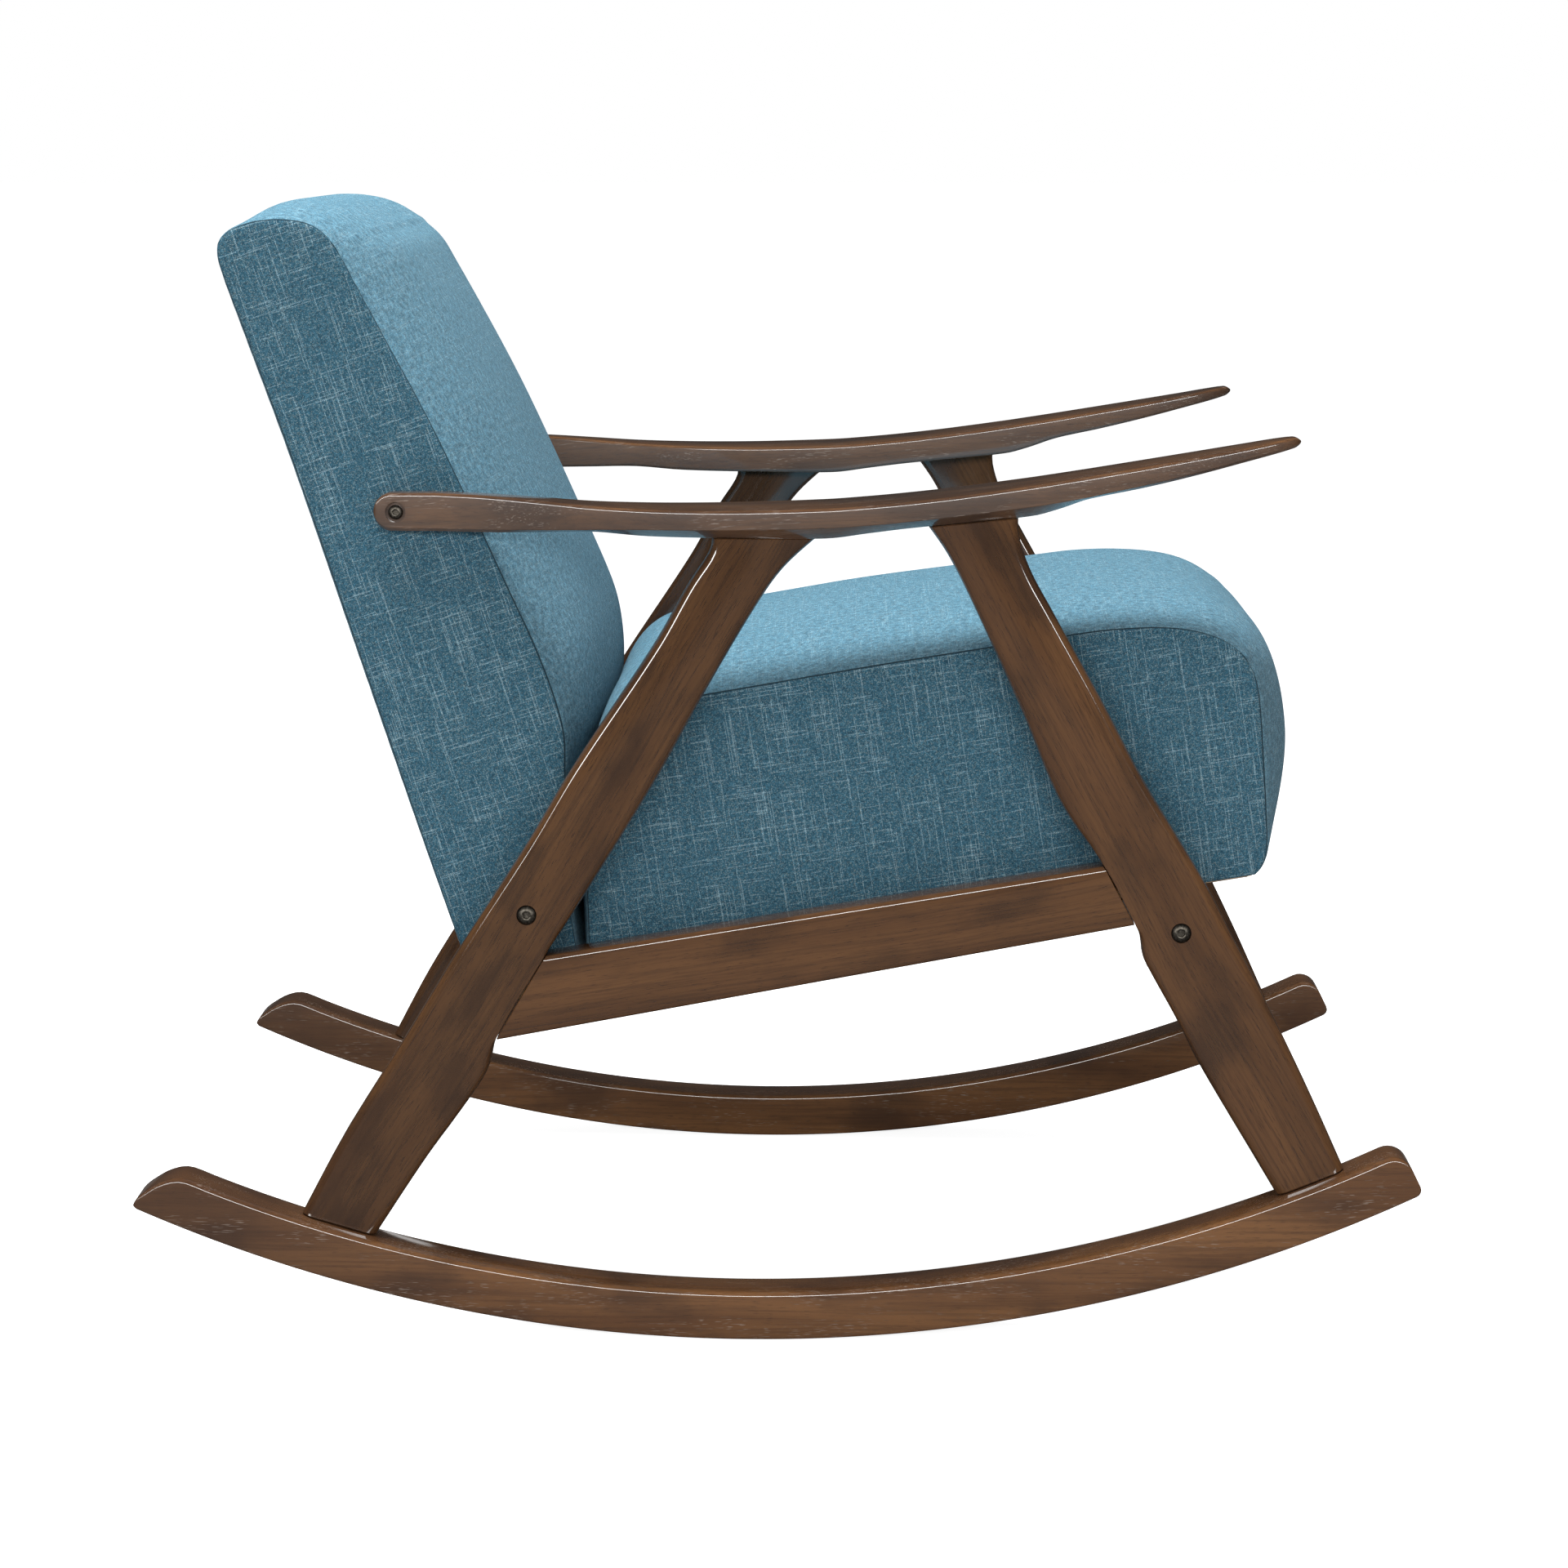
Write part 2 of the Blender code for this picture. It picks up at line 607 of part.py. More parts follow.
def insert(name, sign, x, z, face, length):
    """A threaded insert: a sleeve set into the end of a rail."""
    profile = [(INSERT_BORE, 0.0), (INSERT_RADIUS, 0.0), (INSERT_RADIUS, length), (INSERT_BORE, length)]
    return turned(name, profile, MATERIALS["bolt"], (x, sign * face, z), (0.0, -sign, 0.0), 12)


def bolt_set(kind, point, face, head_radius, rail_face, shank_end, insert_length, outer_nodes,
             rail_nodes):
    """Both sides of one bolt position: counterbore, shank holes, bolt and insert."""
    x, z = point
    for side, sign in SIDES:
        axis = (0.0, -sign, 0.0)
        floor_of_bore = face - COUNTERBORE_DEPTH
        outer = bpy.data.objects[outer_nodes + side]
        cut(outer, cylinder_cutter(f"{kind}_bore_{side}", (x, sign * (face + 0.002), z), axis,
                                   COUNTERBORE_DEPTH + 0.002, COUNTERBORE_RADIUS, 24))
        cut(outer, cylinder_cutter(f"{kind}_hole_{side}", (x, sign * (face + 0.002), z), axis,
                                   face - rail_face + 0.006, SHANK_HOLE, 12))
        rail = bpy.data.objects[rail_nodes.replace("*", side)]
        depth = rail_face - shank_end + 0.004
        cut(rail, cylinder_cutter(f"{kind}_deep_{side}", (x, sign * (rail_face + 0.002), z), axis,
                                  depth + 0.002, INSERT_RADIUS + 0.0005, 16))
        bolt(f"{kind}_bolt_{side}", sign, x, z, face, head_radius, floor_of_bore - shank_end)
        insert(f"{kind}_insert_{side}", sign, x, z, rail_face - 0.001, insert_length)


def dowel(name, centre, direction, first, second, node_a, node_b):
    """A dowel across a joint: first into node_a behind the centre, second into node_b."""
    direction = Vector(direction).normalized()
    start = Vector(centre) - direction * first
    length = first + second
    for node, extra in ((node_a, "a"), (node_b, "b")):
        cut(bpy.data.objects[node],
            cylinder_cutter(f"{name}_cut_{extra}", start - direction * 0.001, direction,
                            length + 0.002, DOWEL_HOLE, 16))
    profile = [(0.0, 0.0), (DOWEL_RADIUS - 0.001, 0.0), (DOWEL_RADIUS, 0.001),
               (DOWEL_RADIUS, length - 0.001), (DOWEL_RADIUS - 0.001, length), (0.0, length)]
    turned(name, profile, MATERIALS["frame_wood"], start, direction, 12)


def all_dowels():
    middle = 0.5 * (LEG_IN + LEG_OUT)
    rail_middle = 0.5 * (RAIL_IN + LEG_OUT)
    for side, sign in SIDES:
        for leg_name, x_low, x_high, z_high in (("rear_leg_", -0.341, -0.006, 0.6265),
                                                ("front_leg_", 0.420, 0.150, 0.6385)):
            low = (x_low, sign * middle, rocker_top(x_low))
            to_centre = (REST_X - x_low, 0.0, ROLL_RADIUS - low[2])
            dowel(leg_name + "rocker_dowel_" + side, low, to_centre, 0.020, 0.022,
                  "rocker_" + side, leg_name + side)
            high = (x_high, sign * middle, z_high)
            dowel(leg_name + "arm_dowel_" + side, high, (0.0, 0.0, 1.0), 0.022, 0.011,
                  leg_name + side, "armrest_" + side)
        along = (math.cos(SEAT_TILT), 0.0, math.sin(SEAT_TILT))
        rear = (-0.196, sign * rail_middle, 0.270)
        dowel("side_rail_rear_dowel_" + side, rear, along, 0.022, 0.022,
              "rear_leg_" + side, "side_rail_" + side)
        front = (0.265, sign * rail_middle, 0.350)
        dowel("side_rail_front_dowel_" + side, front, along, 0.022, 0.022,
              "side_rail_" + side, "front_leg_" + side)


def seat_screws():
    """Screws that hold the seat frame down on the cross rails, driven from below."""
    up = seat_place(0.0, 1.0, 0.0) - seat_place(0.0, 0.0, 0.0)
    y = SEAT_HALF - 0.0195
    for side, sign in SIDES:
        for rail, s, bottom in (("front", -0.066, FRONT_RAIL_T[0]), ("rear", -0.465, REAR_RAIL_T[0])):
            base = seat_place(s, bottom, sign * y)
            length = 0.030 - bottom
            for node in (rail + "_cross_rail", "seat_dust_cover", "seat_frame_" + side):
                cut(bpy.data.objects[node],
                    cylinder_cutter(f"{node}_{rail}_{side}_screw_cut", base - up * 0.002, up,
                                    length + 0.003, 0.0024, 12))
            cut(bpy.data.objects[rail + "_cross_rail"],
                cylinder_cutter(f"{rail}_{side}_screw_bore", base - up * 0.002, up, 0.0062, 0.0055, 16))
            profile = [(0.0, 0.0006), (0.0047, 0.0006), (0.0047, 0.0035), (0.0019, 0.0035),
                       (0.0019, length - 0.004), (0.0, length)]
            turned(f"seat_screw_{rail}_{side}", profile, MATERIALS["bolt"], base, up, 12)


# ---------------------------------------------------------------- build
for old in list(bpy.data.objects):
    bpy.data.objects.remove(old)

MATERIALS = {
    "wood": material("stained_wood", (0.060, 0.030, 0.018), 0.35),
    "frame_wood": material("raw_frame_wood", (0.520, 0.360, 0.210), 0.70),
    "fabric": material("woven_fabric", (0.060, 0.190, 0.290), 0.95),
    "strap": material("elastic_strap", (0.250, 0.230, 0.190), 0.90),
    "dust_cover": material("black_lining", (0.020, 0.020, 0.022), 0.95),
    "bolt": material("dark_steel", (0.090, 0.085, 0.080), 0.30, 1.0),
    "cutter": material("cutter", (1.0, 0.2, 0.1), 0.5),
}

for side, sign in SIDES:
    rocker("rocker_" + side, sign)
    leg("rear_leg_" + side, sign, REAR_LEG_BACK, REAR_LEG_FRONT, 0.0)
    leg("front_leg_" + side, sign, FRONT_LEG_BACK, FRONT_LEG_FRONT, 0.100)
    armrest("armrest_" + side, sign)
    side_rail("side_rail_" + side, sign)
cross_rails()
seat_frame()
back_frame()
seat_cushion()
back_cushion()
bolt_set("rear_leg", REAR_BOLT, LEG_OUT, LEG_HEAD_RADIUS, LEG_IN - GAP, 0.250, 0.020,
         "rear_leg_", "back_bottom_rail")
bolt_set("front_leg", FRONT_BOLT, LEG_OUT, LEG_HEAD_RADIUS, LEG_IN - GAP, 0.267, 0.018,
         "front_leg_", "front_cross_rail")
bolt_set("arm", ARM_BOLT, 0.2945, ARM_HEAD_RADIUS, BACK_HALF - 0.002, 0.255, 0.013,
         "armrest_", "back_side_board_*")
all_dowels()
seat_screws()
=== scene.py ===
# %% [markdown]
# # An upholstered wooden rocking chair
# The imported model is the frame: every piece below is built around its solids, in metres, with
# +X the chair's front, +Y the sitter's left and +Z up. The looks come from three things: wooden
# parts with properly rounded edges, two sewn covers filled out by a cloth simulation, and
# materials whose grain and weave have the size of the real ones.

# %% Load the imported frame
import json
import math

import bmesh
import bpy
import numpy as np
from mathutils import Matrix, Vector


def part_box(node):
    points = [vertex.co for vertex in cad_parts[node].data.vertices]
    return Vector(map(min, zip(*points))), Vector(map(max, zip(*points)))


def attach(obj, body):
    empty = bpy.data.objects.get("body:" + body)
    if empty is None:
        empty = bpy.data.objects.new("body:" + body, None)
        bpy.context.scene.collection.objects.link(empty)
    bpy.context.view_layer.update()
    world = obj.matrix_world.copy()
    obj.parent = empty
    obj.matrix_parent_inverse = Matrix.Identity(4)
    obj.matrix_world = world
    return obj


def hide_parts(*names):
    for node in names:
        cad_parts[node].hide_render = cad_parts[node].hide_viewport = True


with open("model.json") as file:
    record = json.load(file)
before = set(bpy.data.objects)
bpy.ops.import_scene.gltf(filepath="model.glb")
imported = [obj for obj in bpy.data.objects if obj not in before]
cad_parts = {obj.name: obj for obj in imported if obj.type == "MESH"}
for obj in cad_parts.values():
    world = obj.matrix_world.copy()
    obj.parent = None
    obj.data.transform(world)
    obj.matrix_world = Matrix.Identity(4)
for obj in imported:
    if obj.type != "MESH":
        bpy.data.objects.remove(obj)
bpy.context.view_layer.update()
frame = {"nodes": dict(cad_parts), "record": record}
scene = bpy.context.scene
SIDES = (("right", -1.0), ("left", 1.0))

# %% [markdown]
# ## Small tools for node trees
# A material is a tree of nodes. Writing each node and link by hand is long, so one small class
# adds a node, sets its values and links its inputs in a single line. The recipes that follow
# then read almost like formulas.

# %% A short way to write nodes
class Recipe:
    """Adds nodes to a tree. An input may be a plain value or another node's output."""

    def __init__(self, tree):
        self.tree = tree

    def add(self, kind, inputs=None, **settings):
        made = self.tree.nodes.new(kind)
        for key, value in settings.items():
            setattr(made, key, value)
        self.fill(made, inputs or {})
        return made

    def fill(self, node, inputs):
        for key, value in inputs.items():
            self.feed(node.inputs[key], value)

    def feed(self, socket, value):
        if isinstance(value, bpy.types.NodeSocket):
            self.tree.links.new(value, socket)
        else:
            socket.default_value = value

    def math(self, operation, a, b=0.0, c=0.0, clamp=False):
        made = self.add("ShaderNodeMath", {0: a, 1: b, 2: c}, operation=operation, use_clamp=clamp)
        return made.outputs[0]

    def mix(self, share, a, b, blend="MIX"):
        made = self.add("ShaderNodeMix", {"Factor": share, "A": a, "B": b}, data_type="RGBA",
                        blend_type=blend)
        return made.outputs["Result"]

    def times(self, a, b):
        return self.math("MULTIPLY", a, b)

    def bump(self, height, strength, distance):
        return self.add("ShaderNodeBump", {"Height": height, "Strength": strength,
                                           "Distance": distance}).outputs[0]

    def noise(self, place, scale, detail=2.0, roughness=0.5):
        made = self.add("ShaderNodeTexNoise", {"Vector": place, "Scale": scale, "Detail": detail,
                                               "Roughness": roughness})
        return made.outputs["Fac"]

    def stretch(self, place, scale, turn=(0.0, 0.0, 0.0)):
        return self.add("ShaderNodeMapping", {"Vector": place, "Scale": scale,
                                              "Rotation": turn}).outputs[0]

    def ramp(self, value, low, high):
        """0 below low, 1 above high, smooth between."""
        made = self.add("ShaderNodeMapRange", {"Value": value, "From Min": low, "From Max": high},
                        interpolation_type="SMOOTHSTEP")
        return made.outputs[0]


def new_material(name, color, roughness):
    mat = bpy.data.materials.new(name)
    mat.use_nodes = True
    shader = mat.node_tree.nodes["Principled BSDF"]
    shader.inputs["Base Color"].default_value = (*color, 1.0)
    shader.inputs["Roughness"].default_value = roughness
    mat.diffuse_color = (*color, 1.0)
    return mat, Recipe(mat.node_tree), shader


def solid_material(name, color, roughness):
    """A new material, with the position on the object, which its pattern reads."""
    mat, r, shader = new_material(name, color, roughness)
    return mat, r, shader, r.add("ShaderNodeTexCoord").outputs["Object"]


def rgb(red, green, blue):
    return (red, green, blue, 1.0)


# %% [markdown]
# ## Stained wood
# The side frames are a plain-grained hardwood with a dark walnut stain under a clear lacquer.
# Its grain runs along each board, so each board gets its own material with the pattern turned to
# its direction. Three scales matter: soft bands a few centimetres wide, fine streaks, and short
# open pores. Lacquer is a clear coat over the colour, which gives the crisp lines of light on the
# edges.

# %% The stained wood recipe
LACQUER_COAT = 1.0
LACQUER_GLOSS = 1.80     # index of refraction
LACQUER_ROUGHNESS = 0.08
WOOD_ROUGHNESS = 0.50
# lumps of noise per metre, along the grain and across it
WARP = (2.2, 9.0, 9.0)
BANDS = (3.0, 34.0, 34.0)
STREAKS = (11.0, 420.0, 420.0)
PORES = (95.0, 1500.0, 1500.0)
BLOTCHES = (9.0, 19.0, 19.0)
PORE_GLINT_PATCHES = (16.0, 60.0, 60.0)
PORE_GLINT_COLOR = rgb(0.420, 0.340, 0.280)
REAR_X = (0.22, 0.46)    # the darker rear end sets in over this distance behind the middle


def stained_wood(name, lean, shade=1.0, shine=0.25, pore_glints=0.0, rear=0.0):
    """lean is the grain's rise from +X in degrees, shade makes the board's whole colour lighter or
    darker, shine is the wood's own gloss under the lacquer, flecks how strongly the pores get pale
    painted highlights, in patches, for the light they catch, and rear how much darker the rear end is."""
    mat, r, shader, place = solid_material(name, (0.090, 0.046, 0.026), WOOD_ROUGHNESS)
    along = r.stretch(place, (1.0, 1.0, 1.0), (0.0, math.radians(lean), 0.0))
    warp = r.times(r.noise(r.stretch(along, WARP), 1.0, 2.0), 0.030)
    rise = r.add("ShaderNodeCombineXYZ", {"Z": warp}).outputs[0]
    bent = r.add("ShaderNodeVectorMath", {0: along, 1: rise}, operation="ADD").outputs[0]
    bands = r.noise(r.stretch(bent, BANDS), 1.0, 3.0)
    streaks = r.noise(r.stretch(bent, STREAKS), 1.0, 3.0, 0.6)
    pores = r.noise(r.stretch(bent, PORES), 1.0, 1.0)
    blotch = r.noise(r.stretch(along, BLOTCHES), 1.0, 3.0)
    pore_mask = r.ramp(pores, 0.60, 0.70)

    light = rgb(0.083 * shade, 0.038 * shade, 0.0146 * shade)
    middle = rgb(0.052 * shade, 0.023 * shade, 0.0094 * shade)
    dark = rgb(0.020 * shade, 0.010 * shade, 0.0060 * shade)
    color = r.mix(r.ramp(bands, 0.30, 0.70), middle, light)
    color = r.mix(r.times(r.ramp(streaks, 0.42, 0.66), 0.36), color, dark)
    color = r.mix(r.times(r.ramp(blotch, 0.47, 0.66), 0.58), color, dark)
    color = r.mix(r.times(pore_mask, 0.50), color, dark)
    if rear:
        behind = r.times(r.add("ShaderNodeSeparateXYZ", {0: place}).outputs["X"], -1.0)
        color = r.mix(r.times(r.ramp(behind, *REAR_X), rear), color, dark)
    # painted highlight: pale dashes in the pores, in patches, where the pores catch the light
    if pore_glints:
        patch = r.ramp(r.noise(r.stretch(along, PORE_GLINT_PATCHES), 1.0, 2.0), 0.48, 0.62)
        bright = r.times(r.times(pore_mask, patch), pore_glints)
        color = r.mix(bright, color, PORE_GLINT_COLOR)
    height = r.math("SUBTRACT", r.times(streaks, 0.25), pore_mask)
    r.fill(shader, {"Base Color": color, "Normal": r.bump(height, 0.20, 0.00025),
                    "Specular IOR Level": shine, "Coat Weight": LACQUER_COAT,
                    "Coat Roughness": LACQUER_ROUGHNESS, "Coat IOR": LACQUER_GLOSS})
    return mat


WOOD = {
    "rocker": stained_wood("stained_wood_rocker", 0.0, 1.60, 0.08, pore_glints=0.28, rear=0.55),
    "rear_leg": stained_wood("stained_wood_rear_leg", 59.0, 0.90, 0.05),
    "front_leg": stained_wood("stained_wood_front_leg", -61.0, 1.14, 0.06),
    "side_rail": stained_wood("stained_wood_side_rail", 10.0, 1.14, 0.05),
    "armrest": stained_wood("stained_wood_armrest", 3.0, 1.10, 0.50, pore_glints=0.30),
    "cross_rail": stained_wood("stained_wood_cross_rail", 0.0),
}
print("stained wood:", ", ".join(WOOD))

# %% [markdown]
# ## The woven cloth
# The cover is a linen-look polyester: a plain weave of threads a little over half a millimetre
# wide, each a slightly different blue, with slubs, which are thick pale stretches of thread,
# running both ways. The pattern follows the cloth and not the room, so it reads a UV map that
# holds real metres along each panel. Thread numbers come from rounding that position down, and
# noise on the thread's number gives each thread its own colour. At a distance the threads blend
# into a heathered blue.

# %% The woven cloth recipe
THREAD_PITCH = 0.00060
SLUB_LENGTHS = (110.0, 55.0)    # in threads, for the threads along V and along U
SWAY = 0.9                      # how far a thread wanders, in threads
SLUB_COLOR = rgb(0.420, 0.580, 0.640)
OLIVE_SPECK = rgb(0.150, 0.180, 0.165)
# painted shade along the seams, where the crease is dark
SEAM_SHADE_COLOR = rgb(0.008, 0.022, 0.032)


def shaded(r, color, share, low, high):
    """Multiplies a colour by low where share is 0 and by high where it is 1."""
    return r.mix(1.0, color, r.mix(share, low, high), "MULTIPLY")


def thread_look(r, k, number, other, deep, pale, contrast):
    """The colour and the slubs of the threads that are numbered along U (k = 0) or V (k = 1).
    other is the position along the thread."""
    spread = r.times(number, 17.31 + 3.7 * k)
    slow = r.add("ShaderNodeCombineXYZ", {"X": spread, "Y": r.times(other, 0.11),
                                          "Z": 5.0 * k}).outputs[0]
    long = r.add("ShaderNodeCombineXYZ", {"X": spread, "Y": r.math(
        "DIVIDE", other, SLUB_LENGTHS[k]), "Z": 40.3 + 5.0 * k}).outputs[0]
    tone = r.ramp(r.noise(slow, 1.0, 2.0, 0.7), 0.5 - contrast, 0.5 + contrast)
    slub = r.ramp(r.noise(long, 1.0, 0.0), 0.690 + 0.01 * k, 0.712 + 0.01 * k)
    return r.mix(tone, deep, pale), slub


def woven_cloth(name, deep, pale, slub_strength, contrast, grain):
    """slub_strength is how pale the slubs are, contrast how much the threads differ, and grain the
    size of the mottling, in lumps per thread."""
    mat, r, shader = new_material(name, deep[:3], 0.92)
    uv = r.add("ShaderNodeUVMap", uv_map="weave").outputs[0]
    threads = r.stretch(uv, (1 / THREAD_PITCH, 1 / THREAD_PITCH, 0.0))
    wobble = r.add("ShaderNodeTexNoise", {"Vector": threads, "Scale": 0.020, "Detail": 1.0})
    sway = r.add("ShaderNodeVectorMath", {0: wobble.outputs["Color"], 1: (SWAY, SWAY, 0.0)},
                 operation="MULTIPLY").outputs[0]
    threads = r.add("ShaderNodeVectorMath", {0: threads, 1: sway}, operation="ADD").outputs[0]
    split = r.add("ShaderNodeSeparateXYZ", {0: threads})
    axes = (split.outputs["X"], split.outputs["Y"])
    number = [r.math("FLOOR", a) for a in axes]
    inside = [r.math("FRACT", a) for a in axes]
    hump = [r.math("SINE", r.times(f, math.pi)) for f in inside]
    over = r.math("MODULO", r.math("ABSOLUTE", r.math("ADD", number[0], number[1])), 2.0)

    colors, slubs = zip(*[thread_look(r, k, number[k], axes[1 - k], deep, pale, contrast)
                          for k in (0, 1)])
    color = r.mix(over, colors[0], colors[1])
    # at each crossing one thread is seen and the other runs under it
    seen, hidden = [r.add("ShaderNodeMix", {0: over, 2: slubs[k], 3: slubs[1 - k]},
                          data_type="FLOAT").outputs[0] for k in (0, 1)]
    slub = r.math("ADD", seen, r.times(hidden, 0.10), clamp=True)
    color = r.mix(r.times(slub, slub_strength), color, SLUB_COLOR)
    crossing = r.add("ShaderNodeCombineXYZ", {"X": number[0], "Y": number[1]}).outputs[0]
    chance = r.add("ShaderNodeTexWhiteNoise", {"Vector": crossing}, noise_dimensions="2D").outputs[0]
    color = r.mix(r.times(r.ramp(chance, 0.72, 0.95), 0.55), color, OLIVE_SPECK)
    color = shaded(r, color, chance, rgb(0.62, 0.62, 0.64), rgb(1.34, 1.34, 1.31))
    yarn = r.noise(threads, grain, 5.0, 0.85)
    color = shaded(r, color, r.ramp(yarn, 0.36, 0.64), rgb(0.62, 0.62, 0.64), rgb(1.38, 1.38, 1.36))
    # each thread humps up across its width: the hump is the weave's bump, and the low edges between threads
    # are darkened as painted shade
    hump_and_gap_shade = r.times(hump[0], hump[1])
    color = shaded(r, color, r.ramp(hump_and_gap_shade, 0.0, 0.55), rgb(0.50, 0.52, 0.55), rgb(1.0, 1.0, 1.0))
    # painted shade: the cloth turns nearly black along each seam, in its crease
    seam = r.add("ShaderNodeAttribute", attribute_name="seam").outputs["Fac"]
    color = r.mix(r.ramp(seam, 0.15, 0.60), color, SEAM_SHADE_COLOR)
    height = r.math("ADD", hump_and_gap_shade, r.times(slub, 0.7))
    r.fill(shader, {"Base Color": color, "Normal": r.bump(height, 0.55, 0.00035),
                    "Sheen Weight": 0.06, "Sheen Roughness": 0.45,
                    "Sheen Tint": rgb(0.62, 0.82, 0.95), "Specular IOR Level": 0.25})
    return mat


face_cloth = woven_cloth("woven_cloth_face", rgb(0.042, 0.118, 0.170), rgb(0.121, 0.266, 0.352),
                         0.22, 0.32, 0.11)
# the side panels' cloth: the same weave with coarser mottling and stronger slubs, and painted shade: its
# blues are far darker, as the sides get little light from above
side_cloth_painted_shade = woven_cloth("woven_cloth_side_painted_shade", rgb(0.014, 0.058, 0.095), rgb(0.047, 0.138, 0.194),
                         0.44, 0.26, 0.24)
print("cloth: threads every", THREAD_PITCH * 1000, "mm")

# %% [markdown]
# ## Plain finishes for what hardly shows
# The seat and back frames are raw pine under the cover, the straps are a knitted webbing, the
# lining under the seat is a thin pressed felt, and the bolts are blackened steel.

# %% Raw wood, webbing, lining and steel
def raw_wood():
    mat, r, shader, place = solid_material("raw_frame_wood", (0.52, 0.36, 0.21), 0.75)
    rings = r.noise(r.stretch(place, (5.0, 45.0, 60.0)), 1.0, 3.0)
    fibre = r.noise(r.stretch(place, (30.0, 500.0, 500.0)), 1.0, 2.0)
    color = r.mix(r.ramp(rings, 0.35, 0.65), rgb(0.60, 0.43, 0.26), rgb(0.44, 0.28, 0.15))
    color = r.mix(r.times(r.ramp(fibre, 0.5, 0.8), 0.3), color, rgb(0.30, 0.18, 0.09))
    r.feed(shader.inputs["Base Color"], color)
    return mat


def webbing():
    mat, r, shader, place = solid_material("elastic_webbing", (0.25, 0.23, 0.19), 0.9)
    ribs = r.add("ShaderNodeTexWave", {"Vector": place, "Scale": 120.0, "Distortion": 0.4},
                 bands_direction="Y")
    color = r.mix(ribs.outputs["Fac"], rgb(0.14, 0.12, 0.09), rgb(0.34, 0.31, 0.26))
    r.feed(shader.inputs["Base Color"], color)
    return mat


def felt_lining():
    mat, r, shader, place = solid_material("black_lining", (0.02, 0.02, 0.022), 0.95)
    fibres = r.noise(place, 900.0, 4.0, 0.8)
    color = r.mix(fibres, rgb(0.010, 0.010, 0.012), rgb(0.045, 0.045, 0.050))
    r.fill(shader, {"Base Color": color, "Normal": r.bump(fibres, 0.4, 0.0003)})
    return mat


def dark_steel():
    mat, r, shader, place = solid_material("blackened_steel", (0.10, 0.095, 0.09), 0.28)
    wear = r.noise(place, 700.0, 3.0, 0.6)
    color = r.mix(r.ramp(wear, 0.35, 0.75), rgb(0.070, 0.062, 0.050), rgb(0.190, 0.172, 0.145))
    r.fill(shader, {"Base Color": color, "Roughness": r.math("ADD", r.times(wear, 0.20), 0.34),
                    "Metallic": 1.0})
    return mat


PLAIN = {"frame_wood": raw_wood(), "webbing": webbing(), "black_lining": felt_lining(),
         "dark_steel": dark_steel(), "stained_wood": WOOD["cross_rail"], "blue_fabric": face_cloth}

# %% Give the frame's own solids these finishes
slot_of = {s["node"]: s["material_slot"] for s in frame["record"]["subparts"]}
for node_name, solid in frame["nodes"].items():
    solid.data.materials.clear()
    solid.data.materials.append(PLAIN[slot_of[node_name]])
print("finishes:", sorted(set(slot_of.values())))

# %% [markdown]
# ## Tools for the wooden parts
# Each wooden part is a loft: a rounded section at many stations along the part, joined into one
# skin. The frame's solids are lofts too, but with few facets. Here the same outlines are
# sampled finely, and every corner gets its true round, because the lines of light on those rounds
# are what make the lacquered edges look real.

# %% Curves, filleted sections and lofts
WOOD_SHARP = 32    # degrees


def smooth_curve(points):
    """A smooth function v(u) through (u, v) points, by cubic Hermite pieces."""
    us = np.array([p[0] for p in points])
    vs = np.array([p[1] for p in points])
    slopes = np.empty(len(us))
    slopes[1:-1] = (vs[2:] - vs[:-2]) / (us[2:] - us[:-2])
    slopes[0] = (vs[1] - vs[0]) / (us[1] - us[0])
    slopes[-1] = (vs[-1] - vs[-2]) / (us[-1] - us[-2])

    def value(u):
        i = int(np.clip(np.searchsorted(us, u) - 1, 0, len(us) - 2))
        h = us[i + 1] - us[i]
        t = (u - us[i]) / h
        return float((2 * t**3 - 3 * t**2 + 1) * vs[i] + (t**3 - 2 * t**2 + t) * h * slopes[i]
                     + (-2 * t**3 + 3 * t**2) * vs[i + 1] + (t**3 - t**2) * h * slopes[i + 1])
    return value


def filleted(corners, steps=6):
    """A closed section with rounded corners, from (u, v, radius) corners in order."""
    ring = []
    count = len(corners)
    for k in range(count):
        here = Vector(corners[k][:2])
        before = (Vector(corners[k - 1][:2]) - here).normalized()
        after = (Vector(corners[(k + 1) % count][:2]) - here).normalized()
        half_angle = 0.5 * before.angle(after)
        reach = corners[k][2] / math.tan(half_angle)
        centre = here + (before + after).normalized() * corners[k][2] / math.sin(half_angle)
        start = here + before * reach - centre
        turn = math.pi - 2 * half_angle
        sign = 1.0 if before.cross(after) < 0 else -1.0
        for i in range(steps + 1):
            a = sign * turn * i / steps
            ring.append((centre.x + start.x * math.cos(a) - start.y * math.sin(a),
                         centre.y + start.x * math.sin(a) + start.y * math.cos(a)))
    return ring


def add_object(name, mesh):
    piece = bpy.data.objects.new(name, mesh)
    scene.collection.objects.link(piece)
    return piece


def skin(name, rings, sharp=None):
    """A new object: a skin through rings of points, closed at both ends. It is shaded smooth
    where sharp, an angle in degrees, is given, apart from the edges that turn further."""
    bm = bmesh.new()
    rows = [[bm.verts.new(p) for p in ring] for ring in rings]
    for a, b in zip(rows, rows[1:]):
        for i in range(len(a)):
            j = (i + 1) % len(a)
            bm.faces.new((a[i], a[j], b[j], b[i]))
    bm.faces.new(rows[0])
    bm.faces.new(rows[-1])
    bmesh.ops.recalc_face_normals(bm, faces=bm.faces)
    mesh = bpy.data.meshes.new(name)
    bm.to_mesh(mesh)
    bm.free()
    if sharp:
        mesh.shade_smooth()
        mesh.set_sharp_from_angle(angle=math.radians(sharp))
    return add_object(name, mesh)


